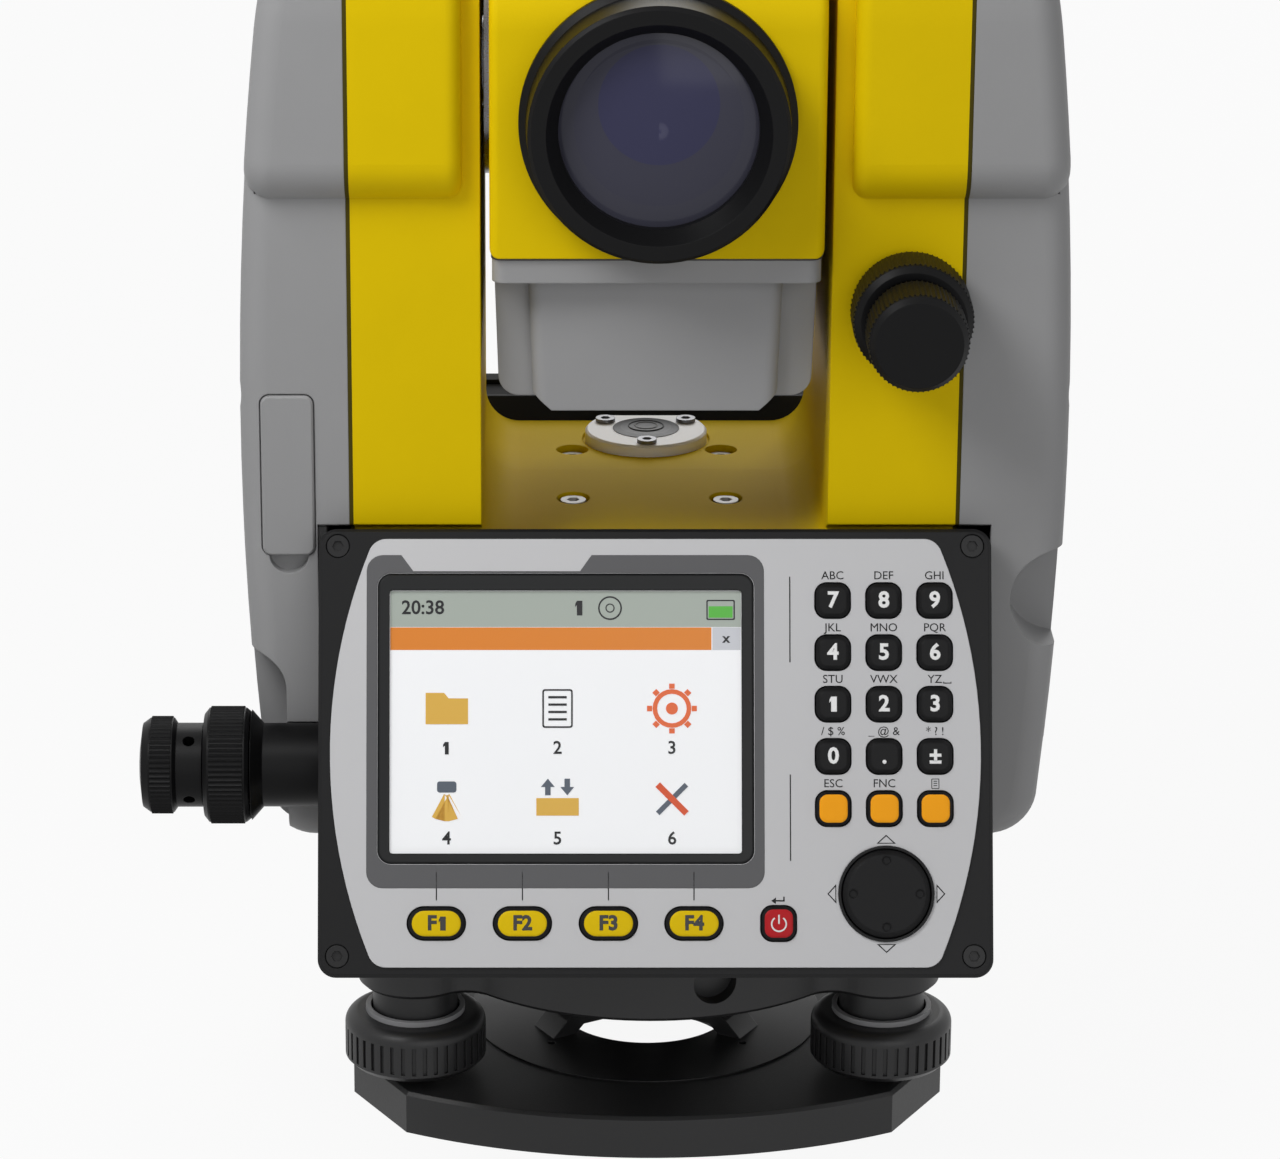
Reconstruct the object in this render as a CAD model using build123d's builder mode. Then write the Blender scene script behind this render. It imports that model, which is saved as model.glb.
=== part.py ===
from build123d import *

import os
from math import cos, radians, sin, tan

os.makedirs("parts", exist_ok=True)

# Surveying total station on its three-screw tribrach, in millimetres.
# The origin lies on the vertical axis, on the underside of the base plate.
# +Z is up and the front keypad faces -Y.

# ---- driving dimensions -------------------------------------------------

running_gap = 0.05  # radial clearance of a shaft in its bearing
free_gap = 0.3  # clearance between pieces that move past each other

# tribrach
base_height = 10.0
base_chamfer = 0.8
corner_reach = 71.5  # axis to the flat of each corner
corner_half_width = 12.7
side_reach = 60.3  # axis to the middle of each bowed side
centre_opening_radius = 20.0
spring_plate_radius = 41.3
spring_plate_top = 10.3
spring_plate_thickness = 2.5
spring_plate_play = 0.1
tripod_thread_radius = 7.94  # 5/8 inch tripod screw
tripod_hub_radius = 11.0
tripod_hub_bottom, tripod_hub_top = 12.3, 24.0
foot_circle_radius = 62.0
foot_angles = (90, 210, 330)
foot_seat_floor = 3.5  # thickness of the base under each ball foot
knob_radius, knob_bottom, knob_top = 16.2, 12.2, 24.0
head_bottom, head_top = 31.5, 44.0
head_radius = 56.0
lobe_radius = 13.0
sleeve_radius, sleeve_bottom = 9.75, 19.5
spindle_radius = 4.0
lock_lever_angle = 30

# vertical axis
flange_radius, flange_top = 45.0, 48.6
axis_radius, axis_top = 15.0, 112.0
circle_radius, circle_bottom, circle_thickness = 38.0, 57.0, 3.0

# alidade
seam = 66.6  # standards end and side covers begin
inner_wall = 37.8  # inner face of each standard
step_wall = 41.7  # where the forward swelling of each standard begins
lower_depth = 52.0  # half depth below the crease
upper_depth = 58.0  # half depth of the swelling above it
crease_height = 222.0
standard_top = 303.0
alidade_bottom = 66.0
skirt_bottom = 49.8
floor_height = 140.0
floor_bend = 14.0  # the floor slopes down in front of this line
floor_slope = 3.5
trunnion_height = 240.0
cover_wall = 2.5
cover_bottom = 74.0
cover_widest = 90.3
widest_height = 162.0
cover_tuck, cover_corner = 4.2, 11.0  # the flank draws in towards a round bottom corner
cover_lean, cover_shoulder, cover_crown = 4.6, 257.0, 72.0

# keypad, in its own plane: x across, y up the panel, z out of it
panel_tilt = 22.5
panel_bottom_y, panel_bottom_z = -95.0, 59.6
panel_height, panel_width = 97.3, 146.2
case_depth = 13.0
number_key, number_radius = 7.4, 2.4
key_travel = 0.5
key_floor = -3.2  # bottom of the key wells
key_height = 1.6  # key top above the panel
overlay_thickness = 0.6

# telescope
scope_half_width = 35.8
scope_half_depth = 57.0
scope_bottom, scope_top = 210.0, 276.0
lens_radius = 21.2
ring_radius, ring_flange_radius = 27.7, 29.6
shaft_radius = 10.0
bearing_radius = 16.0

# drives
v_drive_x, v_drive_z = 54.6, 198.0
h_drive_y, h_drive_z = -56.3, 94.0
drive_tube_radius = 9.25
drive_ring_radius, drive_knob_radius = 12.65, 10.45
drive_tube_inside = 14.0
v_sleeve_radius, v_bore_depth = 8.0, 20.0

panel_rise = panel_height * cos(radians(panel_tilt))
panel_run = panel_height * sin(radians(panel_tilt))
panel_centre = (0, panel_bottom_y + panel_run / 2, panel_bottom_z + panel_rise / 2)
panel = Plane(
    origin=panel_centre,
    x_dir=(1, 0, 0),
    z_dir=(0, -cos(radians(panel_tilt)), sin(radians(panel_tilt))),
)
rear_shift, rear_drop, rear_depth = 6.5, 1.0, 8.0  # the blank rear panel stands further out
rear_panel_plane = Plane(
    origin=(0, rear_shift - panel_centre[1], panel_centre[2] - rear_drop),
    x_dir=(-1, 0, 0),
    z_dir=(0, cos(radians(panel_tilt)), sin(radians(panel_tilt))),
)
foot_points = [
    (foot_circle_radius * cos(radians(a)), foot_circle_radius * sin(radians(a)))
    for a in foot_angles
]


def save(piece, name):
    piece.part.label = name
    export_step(piece.part, f"parts/{name}.step")


def turned(angle, out, across=0.0):
    """The point at a distance out along an angle, and across to its left."""
    a = radians(angle)
    return (out * cos(a) - across * sin(a), out * sin(a) + across * cos(a))


# ---- base plate: bowed triangle with cut corners -------------------------

with BuildPart() as base_plate:
    with BuildSketch():
        with BuildLine():
            for angle in foot_angles:
                left = turned(angle, corner_reach, corner_half_width)
                Line(turned(angle, corner_reach, -corner_half_width), left)
                ThreePointArc(
                    left,
                    turned(angle + 60, side_reach),
                    turned(angle + 120, corner_reach, -corner_half_width),
                )
        make_face()
    extrude(amount=base_height)
    chamfer(base_plate.faces().sort_by(Axis.Z)[-1].edges(), base_chamfer)
    with Locations((0, 0, base_height)):
        Hole(centre_opening_radius)
        CounterBoreHole(
            centre_opening_radius,
            spring_plate_radius + spring_plate_play,
            base_height - spring_plate_top + spring_plate_thickness,
        )
    with Locations([(x, y, base_height) for x, y in foot_points]):
        Hole(spindle_radius, depth=base_height - foot_seat_floor)
save(base_plate, "base_plate")

# ---- spring plate: disc with three sprung arms that carry the tripod nut --

arm_width = 9.0
arm_outer, arm_hollow = 28.0, 22.0  # radii where an arm meets the disc
arm_underside, arm_root, arm_bend = 19.5, 15.5, 21.0
hole_radius, hole_circle, hole_angle, hole_apart = 0.9, 30.0, 222.0, 192.0
with BuildPart() as spring_plate:
    with BuildSketch(Plane.XY.offset(spring_plate_top - spring_plate_thickness)):
        Circle(spring_plate_radius)
        Circle(centre_opening_radius, mode=Mode.SUBTRACT)
        with PolarLocations(hole_circle, 2, start_angle=hole_angle, angular_range=hole_apart):
            Circle(hole_radius, mode=Mode.SUBTRACT)
    extrude(amount=spring_plate_thickness)
    with BuildSketch(Plane.XY.offset(tripod_hub_bottom)):
        Circle(tripod_hub_radius)
    extrude(amount=tripod_hub_top - tripod_hub_bottom)
    for angle in foot_angles:
        arm_plane = Plane(
            origin=(0, 0, 0),
            x_dir=(cos(radians(angle)), sin(radians(angle)), 0),
            z_dir=(sin(radians(angle)), -cos(radians(angle)), 0),
        )
        with BuildSketch(arm_plane):
            Polygon(
                (tripod_hub_radius - 2, tripod_hub_bottom),
                (arm_underside, tripod_hub_bottom),
                (arm_hollow, spring_plate_top - 0.2),
                (arm_outer, spring_plate_top - 0.2),
                (arm_outer - 4, arm_root - 1.5),
                (arm_bend, arm_root),
                (tripod_hub_radius - 2, arm_root),
                align=None,
            )
        extrude(amount=arm_width / 2, both=True)
    with Locations((0, 0, tripod_hub_top)):
        Hole(tripod_thread_radius)
save(spring_plate, "spring_plate")

# ---- foot screws: fluted knob, ball foot and threaded spindle ------------

flute_count, flute_width, flute_depth = 40, 1.3, 0.45
well_radius, well_floor = sleeve_radius + free_gap + 0.2, 15.8
ball_foot_bottom, ball_foot_radius = 4.5, 3.6
spindle_top = 38.5
collar_radius, collar_height = 11.4, 1.4  # raised ring round the well
knob_edge, knob_round = 1.4, 2.8
for number, (x, y) in enumerate(foot_points, start=1):
    upright = Plane(origin=(x, y, 0), x_dir=(1, 0, 0), z_dir=(0, -1, 0))
    with BuildPart() as foot_screw:
        with BuildSketch(upright):
            with BuildLine():
                Polyline(
                    (0, ball_foot_bottom),
                    (ball_foot_radius, ball_foot_bottom),
                    (ball_foot_radius, knob_bottom),
                    (knob_radius - knob_edge, knob_bottom),
                    (knob_radius, knob_bottom + knob_edge),
                    (knob_radius, knob_top - knob_round),
                )
                TangentArc(
                    (knob_radius, knob_top - knob_round),
                    (knob_radius - knob_round, knob_top),
                    tangent=(0, 1),
                )
                Polyline(
                    (knob_radius - knob_round, knob_top),
                    (collar_radius, knob_top),
                    (collar_radius, knob_top + collar_height),
                    (well_radius, knob_top + collar_height),
                    (well_radius, well_floor),
                    (spindle_radius, well_floor),
                    (spindle_radius, spindle_top),
                    (0, spindle_top),
                    (0, ball_foot_bottom),
                )
            make_face()
        revolve(axis=Axis((x, y, 0), (0, 0, 1)))
        with BuildSketch(Plane.XY.offset(knob_bottom + knob_edge + 0.6)):
            with Locations((x, y)):
                with PolarLocations(knob_radius, flute_count):
                    Rectangle(flute_width, 2 * flute_depth)
        extrude(amount=knob_top - knob_round - knob_bottom - knob_edge - 0.8, mode=Mode.SUBTRACT)
    save(foot_screw, f"foot_screw_{number}")

# ---- tribrach body: disc with three lobes, sleeves and the axis well ------

plug_radius, plug_bottom = 30.0, 36.5
lobe_neck, lobe_blend = 16.0, 7.0
head_chamfer = 1.0
spindle_well_top = 42.0
lever_shaft_radius, lever_shaft = 3.0, 12.0
lever_boss_radius, lever_boss = 10.0, 8.0
lever_disc_radius, lever_length, lever_width, lever_thickness = 8.5, 16.0, 8.0, 6.5
lever_plane = Plane(
    origin=(
        (head_radius + 1.5) * cos(radians(lock_lever_angle)),
        (head_radius + 1.5) * sin(radians(lock_lever_angle)),
        (head_bottom + head_top) / 2,
    ),
    x_dir=(-sin(radians(lock_lever_angle)), cos(radians(lock_lever_angle)), 0),
    z_dir=(cos(radians(lock_lever_angle)), sin(radians(lock_lever_angle)), 0),
)
peep_angle, peep_height = 285.0, 40.4  # small blind hole in the front rim
peep_radius, peep_depth = 5.0, 5.0
peep_plane = Plane(
    origin=(*turned(peep_angle, head_radius + 1), peep_height),
    z_dir=(cos(radians(peep_angle)), sin(radians(peep_angle)), 0),
)
with BuildPart() as tribrach_body:
    with BuildSketch(Plane.XY.offset(head_bottom)) as head_outline:
        Circle(head_radius)
        with PolarLocations(foot_circle_radius, 3, start_angle=90):
            Circle(lobe_radius)
        with PolarLocations(foot_circle_radius - lobe_neck / 2, 3, start_angle=90):
            Rectangle(lobe_neck, 2 * lobe_radius)
        fillet(head_outline.vertices(), lobe_blend)
    extrude(amount=head_top - head_bottom)
    chamfer(tribrach_body.faces().sort_by(Axis.Z)[0].edges(), head_chamfer)
    with BuildSketch(Plane.XY.offset(sleeve_bottom)):
        with Locations(foot_points):
            Circle(sleeve_radius)
    extrude(amount=head_bottom - sleeve_bottom + 1)
    with BuildSketch(lever_plane):
        Circle(lever_boss_radius)
    extrude(amount=-lever_boss)
    with BuildSketch(Plane.XY.offset(sleeve_bottom)):
        with Locations(foot_points):
            Circle(spindle_radius + running_gap)
    extrude(amount=spindle_well_top - sleeve_bottom, mode=Mode.SUBTRACT)
    with BuildSketch(Plane.XY.offset(plug_bottom)):
        Circle(plug_radius)
    extrude(amount=head_top - plug_bottom, mode=Mode.SUBTRACT)
    with BuildSketch(lever_plane):
        Circle(lever_shaft_radius + running_gap)
    extrude(amount=-lever_shaft, mode=Mode.SUBTRACT)
    with BuildSketch(peep_plane):
        Circle(peep_radius)
    extrude(amount=-peep_depth, mode=Mode.SUBTRACT)
save(tribrach_body, "tribrach_body")

with BuildPart() as lock_lever:
    with BuildSketch(lever_plane.offset(free_gap)):
        Circle(lever_disc_radius)
        with Locations((lever_length / 2, 0)):
            Rectangle(lever_length, lever_width)
        with Locations((lever_length, 0)):
            Circle(lever_width / 2)
    extrude(amount=lever_thickness)
    chamfer(lock_lever.faces().sort_by(SortBy.AREA)[-2:].edges(), 0.8)
    with BuildSketch(lever_plane.offset(free_gap + 1)):
        Circle(lever_shaft_radius)
    extrude(amount=-lever_shaft)
save(lock_lever, "lock_lever")

# ---- vertical axis and horizontal circle ----------------------------------

axis_bore, axis_shoulder = 6.0, 18.0
with BuildPart() as axis_carrier:
    with BuildSketch(Plane.XZ):
        Polygon(
            (axis_bore, plug_bottom),
            (plug_radius, plug_bottom),
            (plug_radius, head_top),
            (flange_radius, head_top),
            (flange_radius, flange_top),
            (axis_shoulder, flange_top),
            (axis_shoulder, circle_bottom),
            (axis_radius, circle_bottom),
            (axis_radius, axis_top),
            (axis_bore, axis_top),
            align=None,
        )
    revolve(axis=Axis.Z)
save(axis_carrier, "axis_carrier")

with BuildPart() as horizontal_circle:
    with BuildSketch(Plane.XY.offset(circle_bottom)):
        Circle(circle_radius)
        Circle(axis_radius, mode=Mode.SUBTRACT)
    extrude(amount=circle_thickness)
save(horizontal_circle, "horizontal_circle")


# ---- side outline shared by the standards and the covers ------------------


swell_rise = 9.0  # height over which the swelling comes forward
shoulder_height, shoulder_depth = 262.0, 34.0  # where the top rounds off


def side_face(plane, bottom, inset=0.0):
    """Outline seen from the side: straight below the crease, swollen above it."""
    low, high, top = lower_depth - inset, upper_depth - inset, standard_top - inset
    with BuildSketch(plane) as side:
        with BuildLine():
            Polyline((0, bottom), (-low, bottom), (-low, crease_height))
            TangentArc(
                (-high, crease_height + swell_rise), (-low, crease_height), tangent=(0, -1)
            )
            Line((-high, crease_height + swell_rise), (-high, shoulder_height))
            TangentArc((-high, shoulder_height), (inset - shoulder_depth, top), tangent=(0, 1))
            Line((inset - shoulder_depth, top), (0, top))
            mirror(about=Plane.YZ)
        make_face()
    return side.sketch


def front_face(bottom, inset=0.0):
    """Outline of the right side cover seen from the front."""
    widest, top = cover_widest - inset, standard_top - inset
    low = (widest - cover_tuck, bottom + cover_corner)
    high = (widest - cover_lean, cover_shoulder)
    with BuildSketch(Plane.XZ) as front:
        with BuildLine():
            Line((seam, bottom), (widest - cover_tuck - cover_corner, bottom))
            TangentArc((widest - cover_tuck - cover_corner, bottom), low, tangent=(1, 0))
            ThreePointArc(low, (widest, widest_height), high)
            TangentArc(high, (cover_crown - inset, top), tangent=(-0.1, 1))
            Line((cover_crown - inset, top), (seam, top))
            Line((seam, top), (seam, bottom))
        make_face()
    return front.sketch


# ---- yoke frame: base block, floor and the two standards ------------------

floor_corner = 8.0
pocket_round = 6.0
seat_size, seat_reach = (panel_width + 1, panel_height + 2.7), 30.0
gap_reach = upper_depth + 12
gap_front_drop = (gap_reach + floor_bend) * tan(radians(floor_slope))
board_pocket, board_pocket_z, board_pocket_depth = (90.0, 54.0), 104.0, 46.0
upper_pocket, upper_pocket_z, upper_pocket_depth = (78.0, 38.0), 167.0, 24.0
cable_pocket, cable_pocket_z, cable_pocket_depth = (28.0, 46.0), 100.0, 30.0
circle_pocket_radius, circle_pocket_depth = 40.0, 14.6
skirt_radius, skirt_room = 50.0, 14.5
screw_seat_depth, screw_seat_radius, screw_shank_radius, screw_shank = 3.0, 3.75, 1.5, 8.0
floor_screws = ((-17.4, 29), (17.4, 29), (-17.4, -4), (17.4, -4))
cover_screws = ((-44.0, 177.0), (44.0, 177.0), (0.0, 284.0))  # y and z on each cover
cover_screw_hold = 7.0  # depth of a cover's screw in the yoke
level_y, level_recess, level_recess_flat, level_recess_depth = 38.0, 15.0, 11.2, 0.8


def along_floor(edge):
    """Whether an edge of the gap runs along the foot of a standard."""
    return abs(abs(edge.center().X) - inner_wall) < 0.1 and edge.center().Z < floor_height + 1


with BuildPart() as yoke_gap:
    # the room between the standards, with a floor that falls towards the front
    with BuildSketch(Plane.YZ.offset(-inner_wall)):
        Polygon(
            (gap_reach, floor_height),
            (floor_bend, floor_height),
            (-gap_reach, floor_height - gap_front_drop),
            (-gap_reach, standard_top + 10),
            (gap_reach, standard_top + 10),
            align=None,
        )
    extrude(amount=2 * inner_wall)
    fillet(yoke_gap.edges().filter_by(along_floor), floor_corner)

swell_round = 3.2
with BuildPart() as swelling:
    extrude(side_face(Plane.YZ.offset(step_wall), crease_height - 20), amount=seam - step_wall)
    inner_rim = swelling.faces().sort_by(Axis.X)[0].edges()
    fillet(inner_rim.filter_by(lambda e: abs(e.center().Y) > upper_depth - 1), swell_round)

with BuildPart() as yoke_frame:
    with BuildSketch(Plane.XZ):
        with Locations((0, alidade_bottom)):
            Rectangle(2 * seam, standard_top - alidade_bottom, align=(Align.CENTER, Align.MIN))
    extrude(amount=lower_depth, both=True)
    outline = side_face(Plane.YZ.offset(-seam), alidade_bottom)
    extrude(outline, amount=2 * seam, mode=Mode.INTERSECT)
    add(swelling.part)
    add(mirror(swelling.part, about=Plane.YZ, mode=Mode.PRIVATE))
    add(yoke_gap.part, mode=Mode.SUBTRACT)
    # round skirt over the horizontal circle
    with BuildSketch(Plane.XY.offset(skirt_bottom)):
        Circle(skirt_radius)
    extrude(amount=alidade_bottom - skirt_bottom + 1)
    with BuildSketch(Plane.XY.offset(skirt_bottom)):
        Circle(circle_radius + 3)
    extrude(amount=skirt_room, mode=Mode.SUBTRACT)
    with BuildSketch(Plane.XY.offset(skirt_bottom)):
        Circle(axis_radius + running_gap)
    extrude(amount=axis_top + 1 - skirt_bottom, mode=Mode.SUBTRACT)
    # pockets for the circuit boards, closed by the side covers
    for side in (-1, 1):
        with BuildSketch(Plane.YZ.offset(side * seam)):
            with Locations((0, board_pocket_z)):
                RectangleRounded(*board_pocket, pocket_round)
        extrude(amount=-side * board_pocket_depth, mode=Mode.SUBTRACT)
        with BuildSketch(Plane.YZ.offset(side * seam)):
            with Locations((0, upper_pocket_z)):
                RectangleRounded(*upper_pocket, pocket_round)
        extrude(amount=-side * upper_pocket_depth, mode=Mode.SUBTRACT)
        # trunnion: wide pocket for the circle, bearing seat and shaft hole
        with BuildSketch(Plane.YZ.offset(side * seam)):
            with Locations((0, trunnion_height)):
                Circle(circle_pocket_radius)
        extrude(amount=-side * circle_pocket_depth, mode=Mode.SUBTRACT)
        with BuildSketch(Plane.YZ.offset(side * seam)):
            with Locations((0, trunnion_height)):
                Circle(bearing_radius)
        extrude(amount=-side * (seam - step_wall), mode=Mode.SUBTRACT)
        with BuildSketch(Plane.YZ.offset(side * seam)):
            with Locations((0, trunnion_height)):
                Circle(shaft_radius + 1)
        extrude(amount=-side * (seam - inner_wall), mode=Mode.SUBTRACT)
        with BuildSketch(Plane.YZ.offset(side * seam)):
            with Locations(cover_screws):
                Circle(screw_shank_radius)
        extrude(amount=-side * cover_screw_hold, mode=Mode.SUBTRACT)
    # front and rear pockets for the cables, closed by the two panels
    for side in (-1, 1):
        with BuildSketch(Plane.XZ.offset(side * lower_depth)):
            with Locations((0, cable_pocket_z)):
                RectangleRounded(*cable_pocket, pocket_round)
        extrude(amount=-side * cable_pocket_depth, mode=Mode.SUBTRACT)
    # seat for the upper edge of the keypad case
    with BuildSketch(panel.offset(-case_depth)):
        Rectangle(*seat_size)
    extrude(amount=seat_reach, mode=Mode.SUBTRACT)
    # groove for the housing of the horizontal drive
    with BuildSketch(Plane.YZ.offset(-seam)):
        with Locations((h_drive_y, h_drive_z)):
            Circle(drive_tube_radius)
    extrude(amount=drive_tube_inside, mode=Mode.SUBTRACT)
    # vertical drive bore in the right standard
    with BuildSketch(Plane.XZ.offset(lower_depth + 1)):
        with Locations((v_drive_x, v_drive_z)):
            Circle(v_sleeve_radius + running_gap)
    extrude(amount=-v_bore_depth, mode=Mode.SUBTRACT)
    # recess for the circular level
    with BuildSketch(Plane.XY.offset(floor_height - level_recess_depth)):
        with Locations((0, level_y)):
            Circle(level_recess)
        with Locations((0, level_y + level_recess_flat)):
            Rectangle(
                2 * level_recess, level_recess, align=(Align.CENTER, Align.MIN), mode=Mode.SUBTRACT
            )
    extrude(amount=level_recess_depth + 1, mode=Mode.SUBTRACT)
    # counterbores of the floor screws
    with BuildSketch(Plane.XY.offset(floor_height - screw_seat_depth)):
        with Locations(floor_screws):
            Circle(screw_seat_radius)
    extrude(amount=screw_seat_depth + 1, mode=Mode.SUBTRACT)
    with BuildSketch(Plane.XY.offset(floor_height - screw_seat_depth)):
        with Locations(floor_screws):
            Circle(screw_shank_radius)
    extrude(amount=-screw_shank, mode=Mode.SUBTRACT)
save(yoke_frame, "yoke_frame")

# ---- side covers: moulded shells over the standards -----------------------

door_front, door_rear = -36.0, 42.0
door_bottom, door_top = 84.0, 170.0
port_x, port_top, port_bottom = -79.9, 178.0, 141.6
port_width, port_thickness, port_proud = 11.4, 1.6, 0.7
port_middle, port_length = (port_top + port_bottom) / 2, port_top - port_bottom
socket_size, socket_depth = (5.0, 13.0, 1.0), 8.0
notch_radius, notch_depth = 4.3, 2.6
grip_z, grip_radius, grip_depth = 131.0, 11.5, 13.5
door_gap, door_round, door_plane = 0.4, 3.0, 78.0
seat_gap, port_round, socket_rise = 0.3, 2.0, 2.0
backing_depth = 17.0  # of the solid wall behind the port and the scoop
past = 3.0  # how far a cutting form stands outside the face that it cuts
cover_round = 6.0
scoop_x, scoop_top, scoop_round, scoop_depth = 81.0, 119.0, 9.0, 11.0
cap_radius, cap_rise = 8.0, 0.7  # round cap over each end of the tilting axis
boss_radius, boss_recess_radius, boss_recess = 5.2, 4.0, 2.6
boss_outside = {177.0: cover_widest - 0.1, 284.0: cover_widest - 10.3}


def cover_solid(inset=0.0):
    """The cover's outer form, or with an inset the hollow inside it."""
    with BuildPart() as form:
        extrude(front_face(cover_bottom + inset, inset), amount=gap_reach, both=True)
        outline = side_face(Plane.YZ.offset(seam), cover_bottom + inset - 5, inset)
        extrude(outline, amount=cover_widest - seam + 1, mode=Mode.INTERSECT)
        if inset == 0.0:
            outer = form.edges().filter_by(lambda e: e.center().X > seam + 12)
            fillet(outer, cover_round)
    return form.part


def block(x, y, z):
    """A plain block between two limits along each axis."""
    size = (x[1] - x[0], y[1] - y[0], z[1] - z[0])
    centre = (sum(x) / 2, sum(y) / 2, sum(z) / 2)
    return Pos(*centre) * Box(*size)


with BuildPart() as panel_seat:
    with BuildSketch(panel.offset(-case_depth)):
        Rectangle(*seat_size)
    extrude(amount=seat_reach)

with BuildPart() as cover_bosses:
    # hollow pillars that carry the fixing screws of a cover
    with BuildSketch(Plane.YZ.offset(seam)):
        with Locations(cover_screws):
            Circle(boss_radius)
            Circle(screw_shank_radius, mode=Mode.SUBTRACT)
    extrude(amount=cover_widest - seam)

with BuildPart() as boss_recesses:
    for y, z in cover_screws:
        with BuildSketch(Plane.YZ.offset(boss_outside[z] - boss_recess)):
            with Locations((y, z)):
                Circle(boss_recess_radius)
        extrude(amount=cover_round)
        with BuildSketch(Plane.YZ.offset(seam)):
            with Locations((y, z)):
                Circle(screw_shank_radius)
        extrude(amount=cover_widest - seam)

with BuildPart() as axis_cap:
    with BuildSketch(Plane.YZ.offset(seam + cover_round)):
        with Locations((0, trunnion_height)):
            Circle(cap_radius)
    extrude(amount=cover_widest - cover_lean + cap_rise + 2 - seam - cover_round)

cover_outside = cover_solid() - panel_seat.part
cover_inside = cover_solid(cover_wall)
cover_hollow = cover_inside - cover_bosses.part
door_middle = ((door_front + door_rear) / 2, (door_bottom + door_top) / 2)
door_size = (door_rear - door_front, door_top - door_bottom)
thumb_wall = block(
    (cover_widest - grip_radius - 3.5, cover_widest),
    (-lower_depth, door_front - door_gap),
    (grip_z - grip_radius - 2.5, grip_z + grip_radius + 2.5),
)

with BuildPart() as right_cover:
    add(cover_outside)
    add(axis_cap.part)
    add(cover_hollow - thumb_wall, mode=Mode.SUBTRACT)
    add(boss_recesses.part, mode=Mode.SUBTRACT)
    # thumb recess that reaches the front edge of the battery door
    with BuildSketch(Plane.XZ.offset(lower_depth + past)):
        with Locations((cover_widest - 0.6, grip_z)):
            Circle(grip_radius)
    extrude(amount=-(grip_depth + past), mode=Mode.SUBTRACT)
    # doorway of the battery compartment
    with BuildSketch(Plane.YZ.offset(door_plane)):
        with Locations(door_middle):
            RectangleRounded(
                door_size[0] + 2 * door_gap, door_size[1] + 2 * door_gap, door_round + door_gap
            )
    extrude(amount=cover_widest + past - door_plane, mode=Mode.SUBTRACT)
save(right_cover, "right_cover")

port_backing = block(
    (port_x - port_width, port_x + 8),
    (-lower_depth, backing_depth - lower_depth),
    (port_bottom - 6, port_top + 3),
)
scoop_backing = block(
    (-cover_widest, -seam),
    (-lower_depth, backing_depth + 4 - lower_depth),
    (cover_bottom, scoop_top + 3),
)
left_hollow = mirror(cover_hollow, about=Plane.YZ) - port_backing - scoop_backing
with BuildPart() as left_cover:
    mirror(cover_outside, about=Plane.YZ)
    mirror(axis_cap.part, about=Plane.YZ)
    add(left_hollow, mode=Mode.SUBTRACT)
    mirror(boss_recesses.part, about=Plane.YZ, mode=Mode.SUBTRACT)
    # groove for the tube of the horizontal drive
    with BuildSketch(Plane.YZ.offset(-seam)):
        with Locations((h_drive_y, h_drive_z)):
            Circle(drive_tube_radius + free_gap)
    extrude(amount=-(cover_widest - seam), mode=Mode.SUBTRACT)
    # scoop that leaves room for fingers round the drive's clamp ring
    with BuildSketch(Plane.XZ.offset(lower_depth + past)) as scoop:
        with Locations((-scoop_x, scoop_top)):
            Rectangle(cover_widest - seam, scoop_top - cover_bottom + past, align=(Align.MAX, Align.MAX))
        fillet(scoop.vertices().sort_by(Axis.X)[-2:].sort_by(Axis.Y)[-1], scoop_round)
    extrude(amount=-(scoop_depth + past), mode=Mode.SUBTRACT)
    # seat, finger notch and socket of the data port
    with BuildSketch(Plane.XZ.offset(lower_depth + past)):
        with Locations((port_x, port_middle)):
            RectangleRounded(
                port_width + 2 * seat_gap, port_length + 2 * seat_gap, port_round + seat_gap
            )
    extrude(amount=-(past + port_thickness - port_proud + 0.2), mode=Mode.SUBTRACT)
    with BuildSketch(Plane.XZ.offset(lower_depth + past)):
        with Locations((port_x, port_bottom)):
            Circle(notch_radius)
    extrude(amount=-(past + notch_depth), mode=Mode.SUBTRACT)
    with BuildSketch(Plane.XZ.offset(lower_depth + past)):
        with Locations((port_x, port_middle + socket_rise)):
            RectangleRounded(*socket_size)
    extrude(amount=-(past + socket_depth), mode=Mode.SUBTRACT)
save(left_cover, "left_cover")

# ---- battery door with its tray, and the battery that clips into it -------

battery_size = (17.0, 39.4, 71.6)
battery_inner, battery_low, battery_round, battery_edge = seam + 0.4, 92.0, 3.0, 1.2
battery_middle = battery_low + battery_size[2] / 2
tray_x, tray_half, tray_lip = battery_inner + battery_size[0], 23.0, 4.0
clip_size, clip_reach = (30.0, 1.8), 9.0
clip_offset = battery_size[2] / 2 + clip_size[1] / 2 + 0.2
tray = block(
    (tray_x, cover_widest),
    (-tray_half, tray_half),
    (battery_low - tray_lip, battery_low + battery_size[2] + tray_lip),
)
with BuildPart() as battery_door:
    with BuildSketch(Plane.YZ.offset(door_plane)):
        with Locations(door_middle):
            RectangleRounded(*door_size, door_round)
    extrude(amount=cover_widest + past - door_plane)
    add(cover_outside, mode=Mode.INTERSECT)
    add(cover_inside - tray, mode=Mode.SUBTRACT)
    # end clips of the tray
    with BuildSketch(Plane.YZ.offset(tray_x + 0.2)):
        with Locations((0, battery_middle - clip_offset), (0, battery_middle + clip_offset)):
            Rectangle(*clip_size)
    extrude(amount=-clip_reach)
save(battery_door, "battery_door")

with BuildPart() as battery:
    with BuildSketch(Plane.YZ.offset(battery_inner)):
        with Locations((0, battery_middle)):
            RectangleRounded(battery_size[1], battery_size[2], battery_round)
    extrude(amount=battery_size[0])
    chamfer(battery.faces().sort_by(Axis.X)[0].edges(), battery_edge)
save(battery, "battery")

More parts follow.
